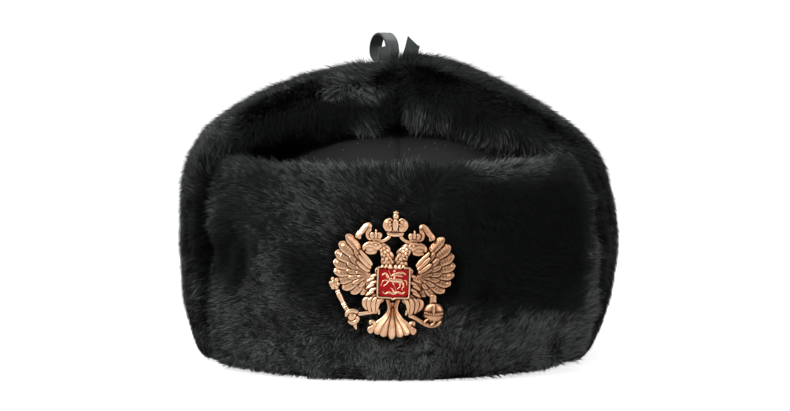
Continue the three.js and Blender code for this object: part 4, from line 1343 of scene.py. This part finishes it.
def metal_material():
    look = Look("cast_copper_gold", Metallic=1.0)
    # The metal darkens with its patina in the hollows, and with painted shade over the wing at +u.
    darkening, cloud = look.attribute("patina"), look.noise(260, 3)
    colour = look.ramp(
        darkening + (cloud - 0.5) * 0.25,
        (0, (0.95, 0.62, 0.40)),
        (0.22, (0.72, 0.40, 0.23)),
        (0.5, (0.18, 0.075, 0.038)),
        (1, (0.03, 0.013, 0.008)),
    )
    look.feed(Base_Color=colour, Roughness=0.24 + 0.3 * darkening + 0.12 * cloud)
    look.bump(look.noise(2600), 0.12, 0.2 * MM)
    return look.material


def enamel_material():
    look = Look("red_enamel", Coat_Weight=0.1, Coat_Roughness=0.08, Specular_IOR_Level=0.12)
    cloud = look.noise(420)
    look.feed(
        Base_Color=look.ramp(cloud, (0.3, (0.24, 0.001, 0.003)), (0.7, (0.40, 0.002, 0.004))),
        Roughness=0.16 + 0.12 * cloud,
    )
    look.bump(cloud, 0.2, 0.3 * MM)
    return look.material


def badge_place(points):
    """Points given as u, v and height on the badge's back, in the hat's frame."""
    cosine, sine = math.cos(BADGE_TILT), math.sin(BADGE_TILT)
    u, v, height = points.T * MM
    x = BADGE_AT.x + u * cosine - v * sine
    z = BADGE_AT.z + u * sine + v * cosine
    return np.stack([x, BADGE_AT.y - height, z], 1)


def post_points(steps):
    """The pin that goes into the visor, as two rings of points on the badge's back."""
    angle = np.arange(steps) * 2 * math.pi / steps
    u, v = np.cos(angle) * POST_RADIUS / MM, np.sin(angle) * POST_RADIUS / MM
    rings = [np.stack([u, v, np.full(steps, height)], 1) for height in (0.5, -POST_LENGTH / MM)]
    return np.vstack(rings)


def build_badge():
    relief = badge_relief()
    steps = 20
    points = np.vstack([*relief.points, post_points(steps)])
    faces = relief.faces + tube_faces(2, steps, relief.count)
    eagle = mesh_object("badge_eagle", badge_place(points), faces)
    darkening = np.concatenate([relief.patina(), np.ones(2 * steps)])
    set_attribute(eagle.data, "patina", darkening)
    face_outwards(eagle)
    smooth_shade(eagle, 40)
    eagle.data.materials.append(metal_material())
    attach(eagle, "root")
    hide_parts("badge")
    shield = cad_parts["badge_shield"]
    shield.data.materials.clear()
    shield.data.materials.append(enamel_material())


# The cloth crown and head band.


def crown_point(across, along, inset):
    """A point of the dome's face at these shares of its half width and half length."""
    out = min(1, math.hypot(across, along))
    rise = (CROWN_TOP - CROWN_FOOT - inset) * (1 - out**CROWN_ROUNDNESS) ** CROWN_SHOULDER
    return Vector((across * (BAND_HALF.x - inset), along * (BAND_HALF.y - inset), CROWN_FOOT + rise))


def gore_point(side_x, side_y, out, angle, inset, lap):
    """A point of a gore, whose cloth sags a little and is drawn in and puckered at its seams."""
    point = crown_point(side_x * out * math.sin(angle), side_y * out * math.cos(angle), inset)
    to_seam = min(abs(point.x), abs(point.y))
    along_seam = max(abs(point.x), abs(point.y))
    if out < 1:
        pucker = PUCKER * math.sin(along_seam / PUCKER_RUN) * math.exp(-to_seam / PUCKER_REACH)
        sag = CLOTH_SAG * (1 + math.sin(point.x * 95 + 1.3) * math.sin(point.y * 80 + 0.4))
        dip = SEAM_DIP * math.exp(-((to_seam / SEAM_HALF) ** 2))
        point.z -= dip + (sag + pucker) * (1 - out**4)
    else:
        point.z = CROWN_FOOT
    point.x += side_x * SEAM_GAP / 2 + lap * math.exp(-abs(point.x) / LAP_REACH)
    point.y += side_y * SEAM_GAP / 2 + lap * math.exp(-abs(point.y) / LAP_REACH)
    return point


def gore(name, side_x, side_y):
    """A quarter of the dome: an outer and an inner layer, joined all round."""
    rings, steps = 30, 26
    points, chart = [], []
    for inset, lap in ((CLOTH_SKIN, 0), (CLOTH_SKIN + CROWN_CLOTH, SEAM_LAP)):
        for ring in range(rings + 1):
            out = math.sin(max(ring, 0.02) / rings * math.pi / 2)
            for step in range(steps + 1):
                angle = step / steps * math.pi / 2
                point = gore_point(side_x, side_y, out, angle, inset, lap)
                points.append(point)
                chart.append((point.x, point.y - side_y * point.z * out**3))
    row, layer = steps + 1, (rings + 1) * (steps + 1)
    faces = []
    for ring in range(rings):
        for step in range(steps):
            a = ring * row + step
            corners = [a, a + 1, a + row + 1, a + row]
            faces.append(corners)
            faces.append([layer + corner for corner in reversed(corners)])
        for step in (0, steps):
            a = ring * row + step
            faces.append([a, a + row, layer + a + row, layer + a])
    for ring in (0, rings):
        for step in range(steps):
            a = ring * row + step
            faces.append([a, a + 1, layer + a + 1, layer + a])
    return cloth_piece(name, points, faces, chart)


def cloth_piece(name, points, faces, chart):
    """A closed piece whose flat map gives each of its points a place in the cloth."""
    obj = mesh_object(name, points, faces)
    cloth_map = obj.data.uv_layers.new(name="Weave")
    for loop in obj.data.loops:
        cloth_map.data[loop.index].uv = chart[loop.vertex_index]
    face_outwards(obj)
    smooth_shade(obj, 50)
    return obj


def band_piece():
    """The head band: a double cloth wall with folded rims."""
    steps = 180
    # How far each fold of the outer face is drawn in, as a share of the wall, and its height.
    outer = [(0.12, 0.0), (0.0, 1.2), (0.03, 6.0), (0.0, 30.0), (0.06, 62.0), (0.0, 93.8), (0.2, 95.0)]
    section = outer + [(1 - drawn, height) for drawn, height in reversed(outer)]
    wall = BAND_WALL - 2 * CLOTH_SKIN
    points, chart = [], []
    for step in range(steps):
        angle = step / steps * 2 * math.pi
        for drawn, height in section:
            inset = CLOTH_SKIN + drawn * wall
            wave = BAND_WAVE * math.sin(angle * BAND_WAVES + height * 0.05)
            x = (BAND_HALF.x - inset - wave) * math.sin(angle)
            y = -(BAND_HALF.y - inset - wave) * math.cos(angle)
            points.append(Vector((x, y, height * MM)))
            chart.append((angle * 0.5 * (BAND_HALF.x + BAND_HALF.y), height * MM))
    return cloth_piece("band_cloth", points, tube_faces(steps, len(section), closed=True), chart)


def stitch_growth():
    """Stitches along a line of thread, each turned the way the line runs."""
    g = Growth("thread_stitches", Stitch="Object", Material="Material", Pitch="Float")
    line = g.node("GeometryNodeMeshToCurve", None, {"Mesh": g.given("Geometry")})
    values = {"Curve": line, "Length": g.given("Pitch")}
    places = g.node("GeometryNodeCurveToPoints", {"mode": "LENGTH"}, values)
    values = {"Points": places, "Rotation": places.output("Rotation")}
    g.finish(g.place_instances(g.given("Stitch"), values))
    return g


def stitch_shape():
    """One stitch: a short thread along Z that dips into the cloth at both ends."""
    sides, rings = 4, 4
    vertices = []
    for ring in range(rings):
        along = ring / (rings - 1) * 2 - 1
        thick = THREAD_RADIUS * math.sqrt(max(0.1, 1 - along * along))
        for side in range(sides):
            angle = side / sides * 2 * math.pi
            vertices.append((thick * math.cos(angle), thick * math.sin(angle), along * 0.4 * STITCH_PITCH))
    shape = mesh_object("stitch_shape", vertices, tube_faces(rings, sides))
    face_outwards(shape)
    shape.data.polygons.foreach_set("use_smooth", [True] * len(shape.data.polygons))
    return shape


def stitch_line(height, inset, steps=180):
    """The points of a run of thread around the band, with the first one again at the end."""
    half_x, half_y = BAND_HALF.x - inset, BAND_HALF.y - inset
    angles = [step / steps * 2 * math.pi for step in range(steps + 1)]
    return [(half_x * math.sin(angle), -half_y * math.cos(angle), height) for angle in angles]


def thread_material():
    look = Look("black_thread", Roughness=0.55)
    twist = look.noise(1800)
    look.feed(Base_Color=look.ramp(twist, (0.3, (0.008,) * 3), (0.7, (0.02, 0.02, 0.019))))
    return look.material


def build_stitches():
    vertices, edges = [], []
    for height in (4 * MM, 8 * MM, 90 * MM):
        for inset in (CLOTH_SKIN, BAND_WALL - CLOTH_SKIN):
            line = stitch_line(height, inset)
            first = len(vertices)
            vertices += line
            edges += [(first + i, first + i + 1) for i in range(len(line) - 1)]
    mesh = bpy.data.meshes.new("cloth_stitches")
    mesh.from_pydata(vertices, edges, [])
    obj = link(bpy.data.objects.new("cloth_stitches", mesh))
    shape = stitch_shape()
    inputs = {"Stitch": shape, "Material": thread_material(), "Pitch": STITCH_PITCH}
    stitch_growth().grow(obj, inputs)
    bpy.data.objects.remove(shape)
    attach(obj, "root")


def cloth_material():
    """Matt black cloth: a fine twill, slightly clouded, with a little lint caught on it."""
    look = Look("black_cloth", Specular_IOR_Level=0.22)
    turn = 2 * math.pi / TWILL_PITCH
    across, along = (place * turn for place in look.flat_place())
    ridges = look.maths("SINE", across + along)
    crossing = look.maths("SINE", across * 2 - along * 2)
    twill = 0.5 + 0.25 * ridges + 0.25 * crossing
    cloud, fuzz = look.noise(55, 4), look.noise(2200)
    values = {"Vector": look.place(), "Scale": 260}
    lint = look.node("ShaderNodeTexVoronoi", None, values, output="Distance")
    speck = look.maths("LESS_THAN", lint + fuzz * 0.12, 0.17)
    shade = 0.45 * twill + 0.35 * cloud + 0.2 * fuzz
    dark = look.ramp(shade, (0.2, (0.0035, 0.0038, 0.0038)), (0.8, (0.0115, 0.012, 0.012)))
    values = {"Factor": speck, "A": dark, "B": (0.11, 0.11, 0.1, 1)}
    colour = look.node("ShaderNodeMix", {"data_type": "RGBA"}, values, output=2)
    look.feed(Base_Color=colour, Roughness=0.72 + 0.2 * fuzz)
    look.bump(0.6 * twill + 0.5 * fuzz, 0.5, 0.3 * MM)
    return look.material


def build_cloth():
    look = cloth_material()
    for end, side_y in (("front", -1), ("back", 1)):
        for side, side_x in (("left", -1), ("right", 1)):
            piece = gore(f"gore_{end}_{side}", side_x, side_y)
            piece.data.materials.append(look)
            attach(piece, "root")
            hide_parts(f"crown_{end}_{side}")
    band = band_piece()
    band.data.materials.append(look)
    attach(band, "root")
    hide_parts("head_band")
    build_stitches()


# The tape tie. Its routes are in millimetres: the middle of the tape, and the way its width lies.
TAPE_COLUMNS = "x y z ax ay"
TAPES = {
    "tie_loop": (0, table(TAPE_COLUMNS, [
        (-4.8, -6.8, 159.4, 0.85, 0.53),
        (-4.9, -11, 164, 0.85, 0.53),
        (-4.2, -12.2, 170, 0.9, 0.43),
        (-5.4, -10.6, 176.5, 0.9, 0.43),
        (-8.6, -5, 180.2, 0.85, 0.53),
        (-12.2, 0.8, 178.4, 0.85, 0.53),
        (-14, 3.6, 172.5, 0.85, 0.53),
        (-12.8, 2.2, 166, 0.85, 0.53),
        (-5.4, -4.4, 159.5, 0.85, 0.53),
    ])),
    "tie_end_right": (-2.2, table(TAPE_COLUMNS, [
        (2.2, -5.2, 159, 0.98, -0.2),
        (4.6, -6, 165, 0.98, -0.2),
        (6.4, -6.6, 170.5, 0.99, -0.1),
        (7.7, -7, 175.6, 0.99, -0.1),
    ])),
    "tie_end_front": (1.6, table(TAPE_COLUMNS, [
        (-4.4, -9.9, 156.2, 0.95, 0.3),
        (-7.4, -15, 162.5, 0.95, 0.3),
        (-8.4, -16, 168, 0.95, 0.3),
        (-7.9, -15.4, 173, 0.95, 0.3),
    ])),
}
# From the knot's middle, out to the right; the left strap is its mirror.
STRAP_ROUTE = table(TAPE_COLUMNS, [
    (5.0, 0, -0.5, 0, 1),
    (6.4, 0, -0.7, 0, 1),
    (7.7, 0, -1.1, 0, 1),
])
# The knot's turns of tape: the way each one's axis points, and its size.
KNOT_TURNS = [((1.0, 0.25, 0.1), 0.8), ((0.15, 1.0, 0.35), 0.9), ((0.55, -0.3, 0.85), 0.98)]


def tape(name, rows, slant=0):
    """A woven tape with thicker selvedges, cut across at a slant where it ends."""
    stations, across = 10 * len(rows["x"]), 13
    path = smooth_rows(np.stack(list(rows.values()), 1), np.linspace(0, 1, stations))
    middle = path[:, :3]
    lies = unit_rows(np.hstack([path[:, 3:5], np.zeros((stations, 1))]))
    forward = unit_rows(np.gradient(middle, axis=0))
    normal = unit_rows(np.cross(lies, forward))
    wide = np.cross(forward, normal)
    gone = lengths_along(middle)
    places = np.sin(np.linspace(-np.pi / 2, np.pi / 2, across))
    points, chart = [], []
    for i in range(stations):
        cut = slant * max(0, 1 - (stations - 1 - i) / 4)
        for face in (1, -1):
            for t in places[::face]:
                selvedge = smoothstep(0.8, 0.88, abs(t)) * (1 - smoothstep(0.965, 1.0, abs(t)))
                lift = face * (TAPE_HALF + SELVEDGE * selvedge) + TAPE_CUP * (1 - t * t) - 0.1
                sideways = t * TAPE_WIDTH / 2
                points.append(middle[i] + wide[i] * sideways + forward[i] * t * cut + normal[i] * lift)
                chart.append((sideways, gone[i]))
    faces = tube_faces(stations, 2 * across)
    return cloth_piece(name, np.array(points) * MM, faces, np.array(chart) * MM)


def knot_box():
    """The middle of the frame's knot, and half its extents."""
    low, high = (Vector(corner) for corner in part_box("tie_knot"))
    return (low + high) / 2, (high - low) / 2


def knot():
    """The knot: a few turns of tape drawn tight around each other."""
    middle, half = knot_box()
    points, faces, chart = [], [], []
    steps, across = 40, 9
    for axis, size in KNOT_TURNS:
        axis = Vector(axis).normalized()
        one = axis.orthogonal().normalized()
        other = axis.cross(one)
        faces += tube_faces(steps, 2 * across, len(points), closed=True)
        for i in range(steps):
            angle = i / steps * 2 * math.pi
            out = one * math.cos(angle) + other * math.sin(angle)
            for j in range(2 * across):
                t = j / (across - 1) * 2 - 1 if j < across else 1 - (j - across) / (across - 1) * 2
                reach = size * (1 - 0.1 * t * t) if j < across else size * 0.55
                place = (out + axis * 0.55 * t).normalized() * reach
                points.append(middle + Vector(place * extent for place, extent in zip(place, half)))
                chart.append((t * 4 * MM, angle * 4 * MM))
    return cloth_piece("knot_tape", points, faces, chart)


def tape_material():
    """Black rayon tape with fine cross ribs and a cool sheen."""
    look = Look("black_tape", Specular_IOR_Level=0.6, Sheen_Weight=0.25, Sheen_Roughness=0.4)
    across, along = look.flat_place()
    ribs = 0.5 + 0.5 * look.maths("SINE", along * (2 * math.pi / RIB_PITCH))
    threads = 0.5 + 0.5 * look.maths("SINE", across * (2 * math.pi / THREAD_PITCH))
    cloud = look.noise(180, 3)
    edge = look.maths("GREATER_THAN", look.maths("ABSOLUTE", across), 0.4 * TAPE_WIDTH * MM)
    shade = (0.4 * ribs + 0.2 * threads + 0.4 * cloud) * (1 - 0.45 * edge)
    look.feed(
        Base_Color=look.ramp(shade, (0.1, (0.014, 0.016, 0.017)), (0.8, (0.07, 0.078, 0.082))),
        Roughness=0.3 + 0.12 * cloud + 0.25 * edge,
    )
    look.bump(0.7 * ribs + 0.3 * threads, 0.35, 0.2 * MM)
    return look.material


def build_tie():
    look = tape_material()
    pieces = {node: tape(node + "_tape", rows, slant) for node, (slant, rows) in TAPES.items()}
    pieces["tie_knot"] = knot()
    knot_at = knot_box()[0] / MM
    for name, side in (("left", -1), ("right", 1)):
        rows = dict(STRAP_ROUTE)
        rows["x"] = knot_at.x + side * rows["x"]
        rows["y"] = knot_at.y + rows["y"]
        rows["z"] = knot_at.z + rows["z"]
        pieces["tie_strap_" + name] = tape(f"strap_{name}_tape", rows)
    for node, piece in pieces.items():
        piece.data.materials.append(look)
        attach(piece, "root")
        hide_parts(node)


# The stage. The floor and the sky look white to the camera, and light the hat less than that.

FLOOR_SEEN, FLOOR_LIGHT = 0.84, 0.22
SKY_SEEN = 1.05
# Each lamp's place, size and power.
LAMPS = {
    "key_light": ((-1.0, -0.9, 1.2), 0.7, 22),
    "top_light": ((0.1, 0.4, 1.6), 1.0, 14),
    "fill_light": ((1.2, -1.2, 0.5), 0.8, 5),
}
LAMP_AIM = Vector((0, 0, 0.08))


def build_floor():
    floor = mesh_object("floor", [(-8, -4, 0), (8, -4, 0), (8, 12, 0), (-8, 12, 0)], [(0, 1, 2, 3)])
    look = Look(
        "studio_floor", Base_Color=(0.45, 0.45, 0.45, 1), Roughness=0.9,
        Specular_IOR_Level=0, Emission_Strength=1,
    )
    seen = look.node("ShaderNodeLightPath", output="Is Camera Ray")
    look.feed(Emission_Color=look.mix(seen, FLOOR_LIGHT, FLOOR_SEEN))
    floor.data.materials.append(look.material)


def build_sky(scene):
    """A soft tent of light, brighter from above and from both sides."""
    world = bpy.data.worlds.new("studio")
    world.use_nodes = True
    scene.world = world
    graph = Graph(world.node_tree)
    seen = graph.node("ShaderNodeLightPath", output="Is Camera Ray")
    toward = graph.unit(graph.node("ShaderNodeTexCoord", output="Generated"))
    parts = graph.node("ShaderNodeSeparateXYZ", None, {"Vector": toward})
    right = parts.output("X")
    above = graph.maths("MAXIMUM", parts.output("Z"), 0.0)
    ambient = 0.16 + 0.55 * (right * right) + 0.7 * above * above - 0.1 * right
    background = world.node_tree.nodes["Background"]
    graph.tree.links.new(graph.mix(seen, ambient, SKY_SEEN).socket, background.inputs["Strength"])
    background.inputs["Color"].default_value = (1, 1, 1, 1)


def build_lamps():
    for name, (at, size, power) in LAMPS.items():
        data = bpy.data.lights.new(name, "AREA")
        data.size = size
        data.energy = power
        lamp = link(bpy.data.objects.new(name, data))
        lamp.location = at
        lamp.rotation_euler = (LAMP_AIM - Vector(at)).to_track_quat("-Z", "Y").to_euler()


def build_stage():
    scene = bpy.context.scene
    scene.view_settings.view_transform = "Standard"
    build_floor()
    build_sky(scene)
    build_lamps()


def build_camera():
    data = bpy.data.cameras.new("camera")
    data.sensor_width = SENSOR
    data.lens = FOCAL_PIXELS / PICTURE_WIDTH * SENSOR
    camera = link(bpy.data.objects.new("camera", data))
    camera.location = CAMERA_AT
    camera.rotation_euler = (CAMERA_AIM - CAMERA_AT).to_track_quat("-Z", "Y").to_euler()
    bpy.context.scene.camera = camera


build_camera()
build_stage()
build_fur()
build_badge()
build_cloth()
build_tie()
